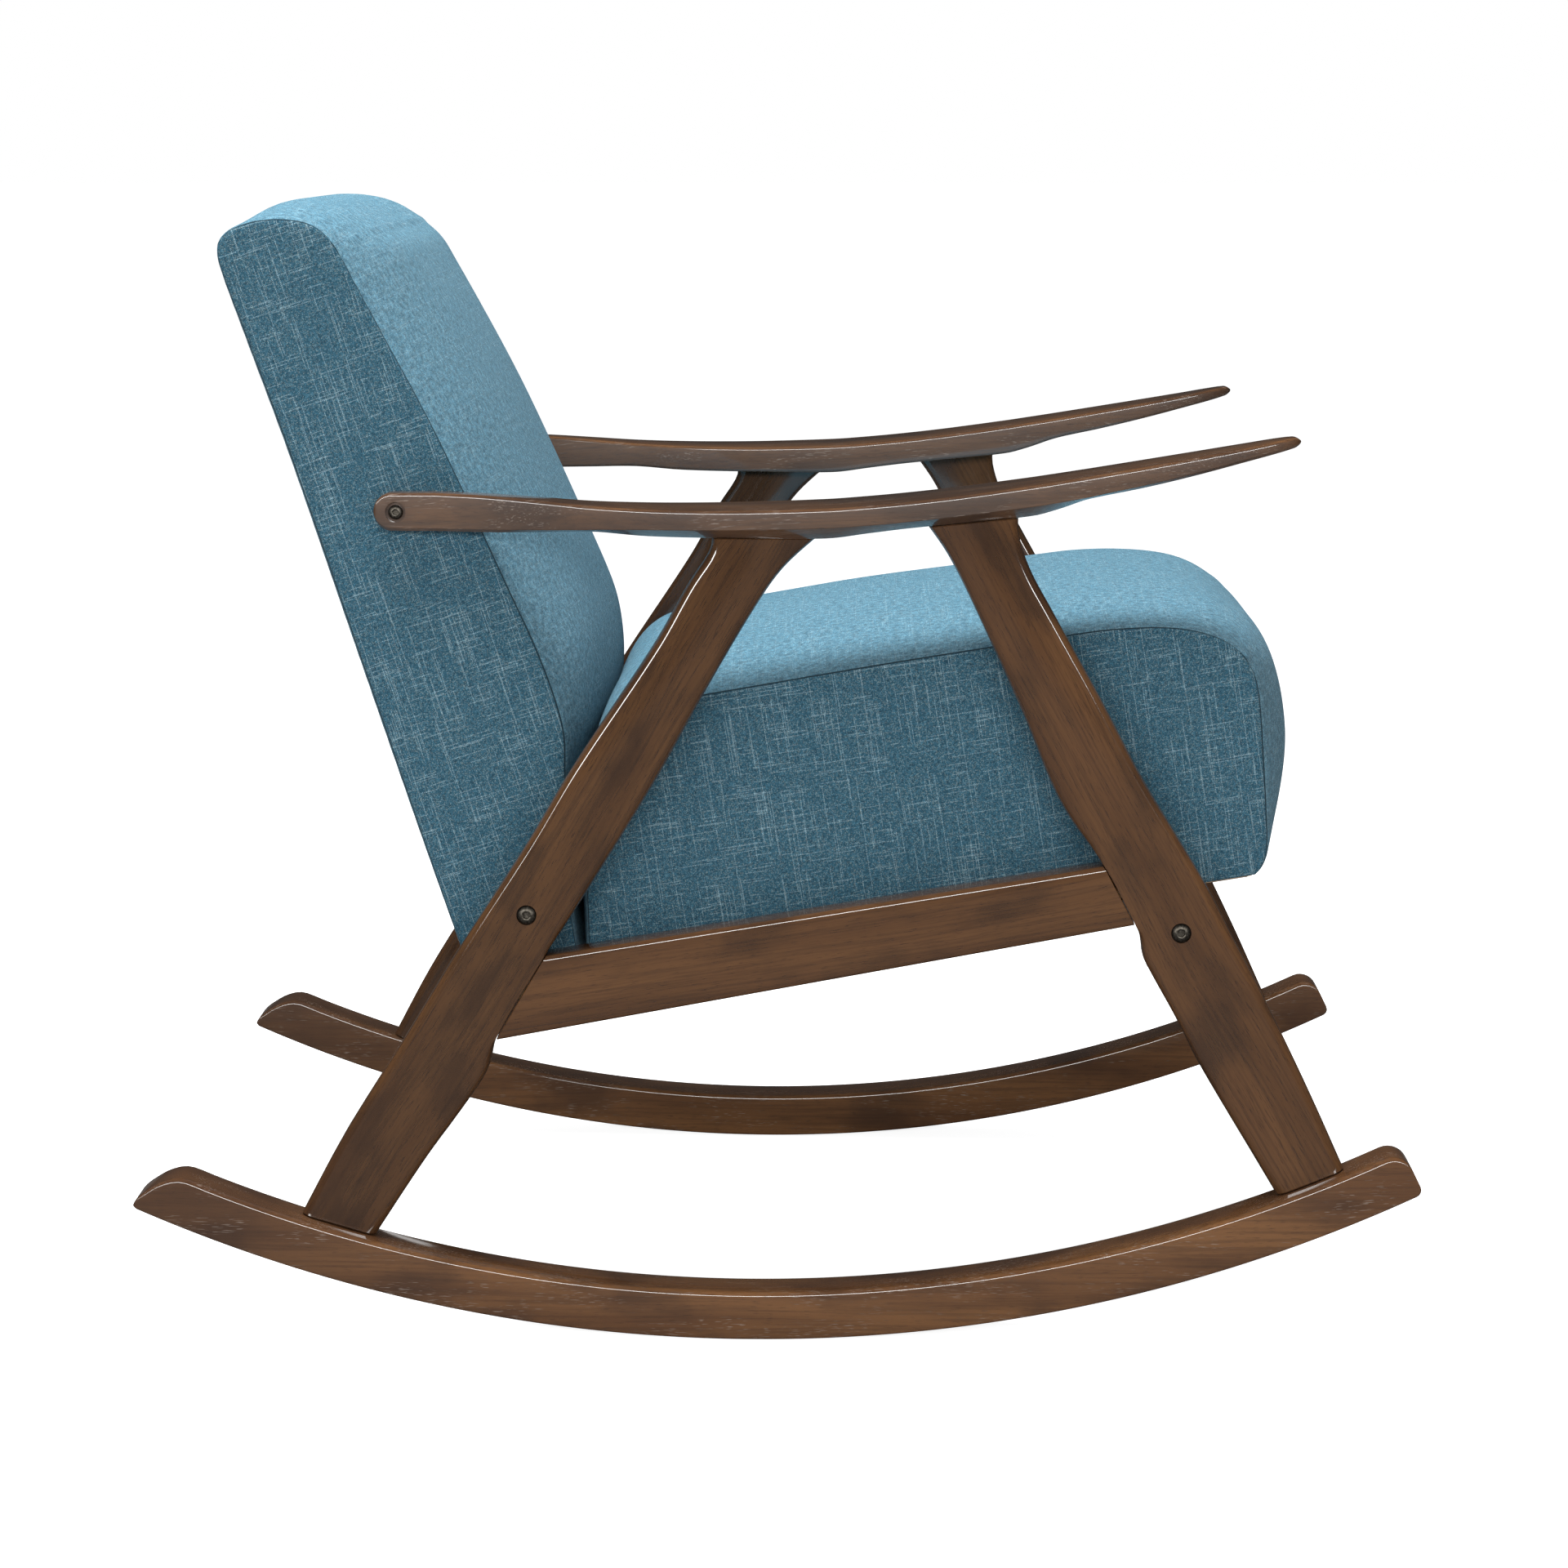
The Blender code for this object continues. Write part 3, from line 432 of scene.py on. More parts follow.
def apply_steps(piece):
    """Gives a piece the mesh that its modifiers make, and takes the modifiers away."""
    whole = bpy.data.meshes.new_from_object(piece.evaluated_get(bpy.context.evaluated_depsgraph_get()))
    piece.modifiers.clear()
    old, piece.data = piece.data, whole
    bpy.data.meshes.remove(old)


def loft(name, rings, mat, node_name):
    """A wooden part through rings of points, which stands for one of the frame's solids."""
    piece = skin(name, rings, WOOD_SHARP)
    piece.data.materials.append(mat)
    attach(piece, "root")
    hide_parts(node_name)
    return piece


def on_both_sides(make):
    """Makes a part for the right and the left side."""
    for side, sign in SIDES:
        made = make(side, sign)
        print(made.name, len(made.data.polygons), "faces")


# %% [markdown]
# ## Rockers
# Each rocker is a solid board, 42 mm wide and 38 mm tall, cut to an arc of 1.18 m radius that
# rolls on the floor. The rear end is cut down to a low nose and the front end has a rounded top
# corner. In polar coordinates about the arc's centre the board is a plain bar, so its section is
# swept through the angle, and near the ends the top and bottom radius change.

# %% Rockers
ROLL_RADIUS = 1.180
REST_X = -0.017
ROCKER_HEIGHT = 0.038
ROCKER_IN, ROCKER_OUT = 0.288, 0.330
ROCKER_ROUND = 0.0040
REAR_END, FRONT_END = math.radians(-24.20), math.radians(26.10)
FRONT_TOP_ROUND, FRONT_BOTTOM_ROUND = 0.016, 0.006
TIP_LENGTH, TIP_LIFT = 0.0040, 0.0025    # the rear tip's underside turns up a little
ROCKER_STEPS = 110
# distances from either end where a section is cut, close together for the rounds
NEAR_END = [0.0, 0.0004, 0.0012, 0.0024, 0.004, 0.006, 0.009, 0.012, 0.016, 0.021, 0.026, 0.032, 0.040]
# the nose's upper line: angle from the resting line in degrees, radius
REAR_NOSE = [(-24.20, 1.1745), (-24.13, 1.1698), (-23.97, 1.1636), (-23.58, 1.1526), (-23.10, 1.1446),
             (-22.70, 1.1421), (-22.30, 1.1418), (-21.80, 1.1420)]
nose_line = smooth_curve(REAR_NOSE)


def rocker_radii(angle):
    """The board's upper and lower radius at an angle from its resting line."""
    top, bottom = ROLL_RADIUS - ROCKER_HEIGHT, ROLL_RADIUS
    front = (FRONT_END - angle) * ROLL_RADIUS
    rear = (angle - REAR_END) * ROLL_RADIUS
    if front < FRONT_TOP_ROUND:
        top += FRONT_TOP_ROUND - math.sqrt(FRONT_TOP_ROUND**2 - (FRONT_TOP_ROUND - front)**2)
    if front < FRONT_BOTTOM_ROUND:
        bottom -= FRONT_BOTTOM_ROUND - math.sqrt(
            FRONT_BOTTOM_ROUND**2 - (FRONT_BOTTOM_ROUND - front)**2)
    if math.degrees(angle) < REAR_NOSE[-1][0]:
        top = nose_line(math.degrees(angle))
    if rear < TIP_LENGTH:
        bottom -= TIP_LIFT * (1 - rear / TIP_LENGTH)**2
    return top, bottom


def rocker(side, sign):
    low = [REAR_END + e / ROLL_RADIUS for e in NEAR_END]
    high = [FRONT_END - e / ROLL_RADIUS for e in reversed(NEAR_END)]
    span = high[0] - low[-1]
    angles = low + [low[-1] + span * k / ROCKER_STEPS for k in range(1, ROCKER_STEPS)] + high
    rings = []
    for angle in angles:
        top, bottom = rocker_radii(angle)
        soft = min(ROCKER_ROUND, 0.30 * (bottom - top))
        section = filleted([(bottom, ROCKER_IN, 0.7 * soft), (bottom, ROCKER_OUT, 0.7 * soft),
                            (top, ROCKER_OUT, soft), (top, ROCKER_IN, soft)])
        rings.append([(REST_X + radius * math.sin(angle), sign * y,
                       ROLL_RADIUS - radius * math.cos(angle)) for radius, y in section])
    return loft("rocker_arc_" + side, rings, WOOD["rocker"], "rocker_" + side)


on_both_sides(rocker)

# %% [markdown]
# ## Legs
# A leg is a board 27 mm thick whose two edges are smooth curves, narrow in the middle, swelling
# below the rail and flaring into a head under the armrest. Its long edges are rounded to 8 mm,
# except where the side rail meets it: there the faces are flush and only a fine joint shows. So
# the round's radius is a function of height, different for the two edges.

# %% Legs
LEG_IN, LEG_OUT = 0.288, 0.315
EDGE_ROUND = 0.0080
JOINT_ROUND = 0.0009
JOINT_FADE = 0.014      # the round grows to its full size over this height
GAP = 0.0003
END_EASE = 0.0008       # the end faces' edges are eased by this
LEG_STEPS = 96
SETTLE = 25             # rounds of a fixed-point search, far more than it needs
REAR_LEG_BACK = [
    (0.085, -0.376), (0.159, -0.336), (0.242, -0.284), (0.306, -0.245), (0.389, -0.1915),
    (0.450, -0.155), (0.545, -0.092), (0.592, -0.0655), (0.618, -0.049), (0.634, -0.048),
]
REAR_LEG_FRONT = [
    (0.075, -0.315), (0.139, -0.273), (0.189, -0.237), (0.212, -0.223), (0.235, -0.217),
    (0.300, -0.179), (0.335, -0.156), (0.437, -0.093), (0.507, -0.054), (0.573, -0.015),
    (0.604, 0.007), (0.634, 0.040),
]
FRONT_LEG_BACK = [
    (0.110, 0.393), (0.145, 0.372), (0.217, 0.329), (0.254, 0.310), (0.290, 0.290),
    (0.302, 0.284), (0.318, 0.2815), (0.328, 0.2775), (0.374, 0.253), (0.410, 0.227),
    (0.435, 0.213), (0.495, 0.188), (0.577, 0.150), (0.614, 0.131), (0.640, 0.113),
]
FRONT_LEG_FRONT = [
    (0.120, 0.449), (0.141, 0.4395), (0.202, 0.4115), (0.276, 0.375), (0.318, 0.3526),
    (0.360, 0.331), (0.442, 0.2815), (0.502, 0.2495), (0.570, 0.2115), (0.602, 0.194),
    (0.629, 0.185), (0.648, 0.1845),
]
# heights between which the side rail meets each leg's inner edge
REAR_JOINT = (0.2340, 0.3010)
FRONT_JOINT = (0.3265, 0.3790)


def rocker_top(x):
    inner = ROLL_RADIUS - ROCKER_HEIGHT
    return ROLL_RADIUS - math.sqrt(inner**2 - (x - REST_X)**2)


def joint_round(height, joint):
    """The round of an inner edge: small along the rail's joint, full away from it."""
    away = max(joint[0] - height, height - joint[1], 0.0)
    share = min(1.0, away / JOINT_FADE)
    return JOINT_ROUND + (EDGE_ROUND - JOINT_ROUND) * math.sqrt(share)


def leg(kind, side, sign, back_points, front_points, back_joint, front_joint, head_slope):
    """A leg between two edge curves. Its foot follows the rocker, and its head has the given
    slope. In the first and last quarter the slices turn from level to those slopes."""
    node_name = f"{kind}_{side}"
    back, front = smooth_curve(back_points), smooth_curve(front_points)
    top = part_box(node_name)[1].z

    def middle(height):
        return 0.5 * (back(height) + front(height))

    inner = ROLL_RADIUS - ROCKER_HEIGHT
    foot = 0.1
    for _ in range(SETTLE):
        half = 0.6 * (front(foot) - back(foot))
        foot = rocker_top(middle(foot)) + half**2 / (2 * inner) + GAP
    foot_slope = (middle(foot) - REST_X) / math.sqrt(inner**2 - (middle(foot) - REST_X)**2)
    head = top - 0.5 * head_slope * (front(top) - back(top))
    ends = [0.0, END_EASE, 0.0020]
    length = head - foot
    heights = [foot + e for e in ends] + [foot + length * k / LEG_STEPS for k in range(1, LEG_STEPS)]
    heights += [head - e for e in reversed(ends)]
    rings = []
    for k, height in enumerate(heights):
        t = (height - foot) / length
        slope = foot_slope * max(0.0, 1 - 4 * t) + head_slope * max(0.0, 4 * t - 3)
        mid = middle(height)
        x_back, x_front = mid, mid
        for _ in range(SETTLE):
            x_back = back(height + slope * (x_back - mid))
            x_front = front(height + slope * (x_front - mid))
        inset = END_EASE if k in (0, len(heights) - 1) else 0.0
        round_back = joint_round(height + slope * (x_back - mid), back_joint)
        round_front = joint_round(height + slope * (x_front - mid), front_joint)
        section = filleted([
            (x_back + inset, LEG_IN + inset, round_back), (x_front - inset, LEG_IN + inset, round_front),
            (x_front - inset, LEG_OUT - inset, round_front), (x_back + inset, LEG_OUT - inset, round_back)])
        rings.append([(x, sign * y, height + slope * (x - mid)) for x, y in section])
    return loft(f"{kind}_board_{side}", rings, WOOD[kind], node_name)


NO_JOINT = (-1.0, -1.0)
for side, sign in SIDES:
    rear = leg("rear_leg", side, sign, REAR_LEG_BACK, REAR_LEG_FRONT, NO_JOINT, REAR_JOINT, 0.0)
    front = leg("front_leg", side, sign, FRONT_LEG_BACK, FRONT_LEG_FRONT, FRONT_JOINT, NO_JOINT, 0.100)
    print(rear.name, len(rear.data.polygons), "faces;", front.name, len(front.data.polygons), "faces")

# %% [markdown]
# ## Side rails
# A rail is a tapered board between the two legs, and its ends follow their edges. It is lofted
# from end to end: each station is a slanted slice whose points slide along between the two leg
# curves. The end faces are eased by a fraction of a millimetre, so that the joint reads as a fine
# dark line.

# %% Side rails
RAIL_IN = 0.285
RAIL_ROUND = 0.0042
CURVED_GAP = 0.0005
RAIL_EASE = 0.0006
# a point of each edge (x, z), and the edge's slope
RAIL_TOP = (-0.1312, 0.3096, 0.1677)
RAIL_BOTTOM = (-0.2174, 0.2348, 0.1886)
RAIL_REAR, RAIL_LENGTH = -0.198, 0.463
rear_edge, front_edge = smooth_curve(REAR_LEG_FRONT), smooth_curve(FRONT_LEG_BACK)


def rail_edge(line, x):
    return line[1] + line[2] * (x - line[0])


def side_rail(side, sign):
    stops = [0.0, 0.0012, 0.004] + [k / 30 for k in range(1, 30)] + [0.996, 0.9988, 1.0]
    rings = []
    for t in stops:
        x_mid = RAIL_REAR + RAIL_LENGTH * t
        low, high = rail_edge(RAIL_BOTTOM, x_mid), rail_edge(RAIL_TOP, x_mid)
        inset = RAIL_EASE if t in (0.0, 1.0) else 0.0
        section = filleted([
            (low + inset, RAIL_IN + inset, RAIL_ROUND), (low + inset, LEG_OUT - GAP - inset, RAIL_ROUND),
            (high - inset, LEG_OUT - GAP - inset, RAIL_ROUND), (high - inset, RAIL_IN + inset, RAIL_ROUND)])
        ring = []
        for v, y in section:
            share = (v - low) / (high - low)
            x = x_mid
            for _ in range(SETTLE):
                z = rail_edge(RAIL_BOTTOM, x) * (1 - share) + rail_edge(RAIL_TOP, x) * share
                x = (rear_edge(z) + CURVED_GAP) * (1 - t) + (front_edge(z) - CURVED_GAP) * t
            ring.append((x, sign * y, z))
        rings.append(ring)
    return loft("side_rail_board_" + side, rings, WOOD["side_rail"], "side_rail_" + side)


on_both_sides(side_rail)

# %% [markdown]
# ## Armrests
# An armrest starts as an upright paddle with a round end, bolted to the back, and twists out into
# a broad flat board that tapers to a thin tip. Its underside is bevelled on the outside, which
# makes the edge look light, and is thicker where the legs are let in. Stations along X hold the
# top, the edge's lower line, the underside, and the inner and outer sides. Smooth curves through
# them are sampled every few millimetres.

# %% Armrests
ARM_STATIONS = [
    (-0.2600, 0.6583, 0.6290, 0.6290, 0.2725, 0.2945),
    (-0.2200, 0.6565, 0.6290, 0.6285, 0.2725, 0.2980),
    (-0.1800, 0.6536, 0.6305, 0.6290, 0.2715, 0.3060),
    (-0.1400, 0.6505, 0.6325, 0.6297, 0.2680, 0.3150),
    (-0.1000, 0.6488, 0.6333, 0.6272, 0.2620, 0.3220),
    (-0.0600, 0.6482, 0.6335, 0.6264, 0.2560, 0.3265),
    (-0.0200, 0.6485, 0.6340, 0.6264, 0.2515, 0.3290),
    (0.0400, 0.6504, 0.6358, 0.6264, 0.2480, 0.3300),
    (0.0700, 0.6526, 0.6378, 0.6302, 0.2475, 0.3300),
    (0.1000, 0.6554, 0.6405, 0.6340, 0.2475, 0.3300),
    (0.1400, 0.6600, 0.6449, 0.6380, 0.2485, 0.3290),
    (0.1950, 0.6676, 0.6520, 0.6435, 0.2508, 0.3268),
    (0.2150, 0.6707, 0.6550, 0.6487, 0.2518, 0.3256),
    (0.2400, 0.6747, 0.6594, 0.6570, 0.2530, 0.3240),
    (0.2800, 0.6814, 0.6666, 0.6656, 0.2550, 0.3205),
    (0.3200, 0.6883, 0.6755, 0.6750, 0.2580, 0.3155),
    (0.3550, 0.6946, 0.6845, 0.6839, 0.2630, 0.3095),
    (0.3800, 0.6994, 0.6905, 0.6902, 0.2700, 0.3035),
    (0.3930, 0.7015, 0.6938, 0.6938, 0.2770, 0.2985),
    (0.3985, 0.7008, 0.6960, 0.6960, 0.2815, 0.2945),
]
arm_columns = [smooth_curve([(s[0], s[k]) for s in ARM_STATIONS]) for k in range(1, 6)]
PADDLE_X, TIP_X, ARM_TIP = -0.260, 0.393, 0.0055    # where the paddle ends and the tip begins
PADDLE_END, PADDLE_RADIUS, PADDLE_HEIGHT = -0.3072, 0.0148, 0.6437
ARM_ROUND = 0.0026
UNDER_BEVEL = 0.015


def armrest(side, sign):
    ends = [0.0, 0.00015, 0.0005, 0.0011, 0.0020, 0.0032, 0.0048, 0.0068, 0.0092, 0.0120, 0.0150]
    xs = [PADDLE_END + e for e in ends] + [-0.288, -0.282, -0.274, -0.266]
    xs += list(np.linspace(PADDLE_X, TIP_X, 132)) + [0.3945, 0.396, 0.3972, 0.3980, 0.3985]
    rings = []
    for x in xs:
        top, edge, under, inner, outer = [c(max(x, PADDLE_X)) for c in arm_columns]
        from_end = x - PADDLE_END
        if from_end < PADDLE_RADIUS:
            half = math.sqrt(max(1e-7, PADDLE_RADIUS**2 - (PADDLE_RADIUS - from_end)**2))
            top, under = PADDLE_HEIGHT + half, PADDLE_HEIGHT - half
            edge = under
        if from_end < ARM_ROUND:
            pull = ARM_ROUND - math.sqrt(ARM_ROUND**2 - (ARM_ROUND - from_end)**2)
            inner, outer = inner + pull, outer - pull
        if x > TIP_X:
            close = (x - TIP_X) / ARM_TIP
            squeeze = 1 - math.sqrt(max(0.0, 1 - close**2)) * 0.9 - 0.1
            half, level = 0.5 * (top - under) * (1 - squeeze), 0.5 * (top + under)
            top, under, edge = level + half, level - half, level - half
            across = 0.5 * (inner + outer)
            reach = 0.5 * (outer - inner) * (1 - 0.55 * squeeze)
            inner, outer = across - reach, across + reach
        soft = min(ARM_ROUND, 0.30 * (top - under), 0.2 * (outer - inner))
        bevel = min(UNDER_BEVEL, 0.5 * (outer - inner)) * min(1.0, max(0.0, (edge - under) / 0.003))
        bevel = max(bevel, 1.2 * soft)
        edge = max(edge, under + 0.9 * soft)
        tiny = 0.25 * soft
        section = filleted([(outer, top, soft), (outer, edge, tiny), (outer - bevel, under, tiny),
                            (inner, under, soft), (inner, top, soft)], steps=5)
        rings.append([(x, sign * y, z) for y, z in section])
    return loft("armrest_board_" + side, rings, WOOD["armrest"], "armrest_" + side)


on_both_sides(armrest)

# %% [markdown]
# ## Bolts in counterbores
# Each side frame has three button-head bolts with hex sockets, sunk in shallow counterbores. The
# counterbores are cut with exact Booleans. The bolts all have one shape in two sizes, so one head
# is modelled, and a Geometry Nodes tree puts it on six points that carry their size and turn.

# %% Cut the counterbores
# leg or armrest, (x, z), the face's distance from the middle of the chair, the head's radius
BOLTS = [("rear_leg", (-0.1915, 0.3345), 0.3150, 0.0074), ("front_leg", (0.3125, 0.3225), 0.3150, 0.0074),
         ("armrest", (-0.290, 0.6435), 0.2945, 0.0056)]
BORE_RADIUS, BORE_DEPTH = 0.0078, 0.0030


def drill(board, x, z, sign, face):
    depth = 0.010
    bm = bmesh.new()
    bmesh.ops.create_cone(bm, cap_ends=True, segments=48, radius1=BORE_RADIUS, radius2=BORE_RADIUS,
                          depth=depth)
    middle = sign * (face - BORE_DEPTH + depth / 2)
    bmesh.ops.transform(bm, matrix=Matrix.Translation((x, middle, z)) @ Matrix.Rotation(
        math.pi / 2, 4, "X"), verts=bm.verts)
    mesh = bpy.data.meshes.new("bore")
    bm.to_mesh(mesh)
    bm.free()
    cutter = add_object("bore", mesh)
    step = board.modifiers.new("bore", "BOOLEAN")
    step.operation = "DIFFERENCE"
    step.solver = "EXACT"
    step.object = cutter
    apply_steps(board)
    bpy.data.objects.remove(cutter)
    board.data.set_sharp_from_angle(angle=math.radians(WOOD_SHARP))


for kind, (x, z), face, _ in BOLTS:
    for side, sign in SIDES:
        drill(bpy.data.objects[f"{kind}_board_{side}"], x, z, sign, face)
print("counterbores:", 2 * len(BOLTS))

# %% Model one bolt head, unit radius, facing +Z
HEAD_POINTS = 48


def bolt_head():
    """A button head with a hex socket. Its seat is at z = 0 and its radius is 1."""
    profile = [(1.0, 0.0), (1.0, 0.20), (0.985, 0.26), (0.94, 0.33), (0.85, 0.42), (0.72, 0.50),
               (0.58, 0.55), (0.49, 0.57), (0.455, 0.565)]
    socket = [(0.36, 0.535), (0.36, 0.14), (0.94 * 0.36, 0.12)]
    angles = [2 * math.pi * k / HEAD_POINTS for k in range(HEAD_POINTS)]
    rings = [[(radius * math.cos(a), radius * math.sin(a), z) for a in angles] for radius, z in profile]
    for flat, z in socket:
        reach = [flat / math.cos((a + math.pi / 6) % (math.pi / 3) - math.pi / 6) for a in angles]
        rings.append([(d * math.cos(a), d * math.sin(a), z) for a, d in zip(angles, reach)])
    return skin("bolt_head", rings, sharp=38)


# %% A tree that puts one shape on every point
def instance_tree(name, finish):
    """Puts an object on each point, turned by its "turn" and scaled by its "size" attribute."""
    tree = bpy.data.node_groups.new(name, "GeometryNodeTree")
    face = tree.interface
    face.new_socket("Geometry", in_out="INPUT", socket_type="NodeSocketGeometry")
    face.new_socket("Shape", in_out="INPUT", socket_type="NodeSocketObject")
    face.new_socket("Size", in_out="INPUT", socket_type="NodeSocketFloat").default_value = 1.0
    face.new_socket("Geometry", in_out="OUTPUT", socket_type="NodeSocketGeometry")
    r = Recipe(tree)
    given = r.add("NodeGroupInput")
    shape = r.add("GeometryNodeObjectInfo", {"Object": given.outputs["Shape"]})
    turn = r.add("GeometryNodeInputNamedAttribute", {"Name": "turn"}, data_type="FLOAT_VECTOR")
    size = r.add("GeometryNodeInputNamedAttribute", {"Name": "size"}, data_type="FLOAT")
    scaled = r.times(size.outputs["Attribute"], given.outputs["Size"])
    put = r.add("GeometryNodeInstanceOnPoints", {
        "Points": given.outputs["Geometry"], "Instance": shape.outputs["Geometry"],
        "Rotation": turn.outputs["Attribute"], "Scale": scaled})
    real = r.add("GeometryNodeRealizeInstances", {"Geometry": put.outputs[0]})
    finished = r.add("GeometryNodeSetMaterial", {"Geometry": real.outputs[0], "Material": finish})
    r.add("NodeGroupOutput", {"Geometry": finished.outputs[0]})
    return tree


def scatter(name, points, turns, sizes, shape, finish, scale=1.0):
    """A piece made of one shape repeated at points, as one plain mesh."""
    mesh = bpy.data.meshes.new(name)
    mesh.from_pydata([tuple(p) for p in points], [], [])
    turn = mesh.attributes.new("turn", "FLOAT_VECTOR", "POINT")
    turn.data.foreach_set("vector", np.array(turns, float).ravel())
    size = mesh.attributes.new("size", "FLOAT", "POINT")
    size.data.foreach_set("value", np.array(sizes, float))
    piece = add_object(name, mesh)
    tree = instance_tree(name + "_tree", finish)
    step = piece.modifiers.new("scatter", "NODES")
    step.node_group = tree
    inputs = {s.name: s.identifier for s in tree.interface.items_tree if s.in_out == "INPUT"}
    step[inputs["Shape"]] = shape
    step[inputs["Size"]] = scale
    bpy.context.view_layer.update()
    apply_steps(piece)
    bpy.data.objects.remove(shape)
    return piece


# %% Bolts
points, turns, sizes, names = [], [], [], []
for kind, (x, z), face, radius in BOLTS:
    for side, sign in SIDES:
        points.append((x, sign * (face - BORE_DEPTH + GAP), z))
        turns.append((-sign * math.pi / 2, 0.3 + 0.5 * len(points), 0.0))
        sizes.append(radius)
        names.append(f"{kind.replace('armrest', 'arm')}_bolt_{side}")
bolts = scatter("side_frame_bolts", points, turns, sizes, bolt_head(), PLAIN["dark_steel"])
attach(bolts, "root")
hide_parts(*names)
print(bolts.name, len(bolts.data.polygons), "faces")

# %% [markdown]
# ## Sewn covers
# The seat and the back are foam blocks in a sewn cover: one long panel wraps over the block, and
# a flat panel closes each side, with a plain seam between them. A cover is built flat-panelled
# and seamed, as it is sewn: a grid for the wrapping panel and a grid for each side panel, which
# share the seam's points. Cloth simulation with a little pressure then fills it out while the
# seams are held. The grids keep their UV maps, in metres, so the weave stays straight on each
# panel. Last, the seams are drawn in by over a millimetre, as thread pulls a real seam into the
# foam.

# %% Places of the seat and back
SEAT_TILT = math.radians(9.5)
SEAT_CORNER = (0.373, 0.359)
SEAT_HALF = 0.275
BACK_RECLINE = math.radians(18.0)
BACK_CORNER = (-0.2465, 0.298)
BACK_HALF = 0.272


def seat_place(s, t, y):
    """s runs forward from the front corner along the seat's slope, t up from its bottom."""
    c, d = math.cos(SEAT_TILT), math.sin(SEAT_TILT)
    return (SEAT_CORNER[0] + s * c - t * d, y, SEAT_CORNER[1] + s * d + t * c)


def back_place(d, h, y):
    """d runs forward from the back's rear face, h up along it."""
    c, s = math.cos(BACK_RECLINE), math.sin(BACK_RECLINE)
    return (BACK_CORNER[0] + d * c - h * s, y, BACK_CORNER[1] + d * s + h * c)


# %% Sample a panel's edge finely next to its seams
NEAR_SEAM = [0.0, 0.0013, 0.0030, 0.0058, 0.0100, 0.0160]
CURVE_SAMPLES = 16    # between two points of an outline


def spaced(length, step):
    """Fractions of a length: close together near both ends, then about a step apart."""
    middle = length - 2 * NEAR_SEAM[-1]
    count = max(2, round(middle / step))
    inner = [NEAR_SEAM[-1] + middle * k / count for k in range(1, count)]
    return [d / length for d in NEAR_SEAM + inner + [length - e for e in reversed(NEAR_SEAM)]]


def distances(points):
    """How far along a line of points each of them is."""
    return np.array([0.0] + [math.dist(a, b) for a, b in zip(points, points[1:])]).cumsum()


def along_path(points, fractions):
    """Points at fractions of the arc length of a smooth curve through 2D points."""
    fine = []
    last = len(points) - 1
    for i in range(last):
        p0, p1 = Vector(points[max(i - 1, 0)]), Vector(points[i])
        p2, p3 = Vector(points[i + 1]), Vector(points[min(i + 2, last)])
        for k in range(CURVE_SAMPLES):
            t = k / CURVE_SAMPLES
            fine.append(0.5 * (2 * p1 + (p2 - p0) * t + (2 * p0 - 5 * p1 + 4 * p2 - p3) * t**2
                               + (3 * p1 - p0 - 3 * p2 + p3) * t**3))
    fine.append(Vector(points[-1]))
    steps = np.array([0.0] + [(b - a).length for a, b in zip(fine, fine[1:])]).cumsum()
    at = np.array(fractions) * steps[-1]
    return np.stack([np.interp(at, steps, [p[k] for p in fine]) for k in (0, 1)], axis=1)


# %% Build a cover as two kinds of grid
FACE_CLOTH, SIDE_CLOTH = 0, 1
ON_SIDE = 9.0    # the tag of a side panel's points, beyond any place across the chair


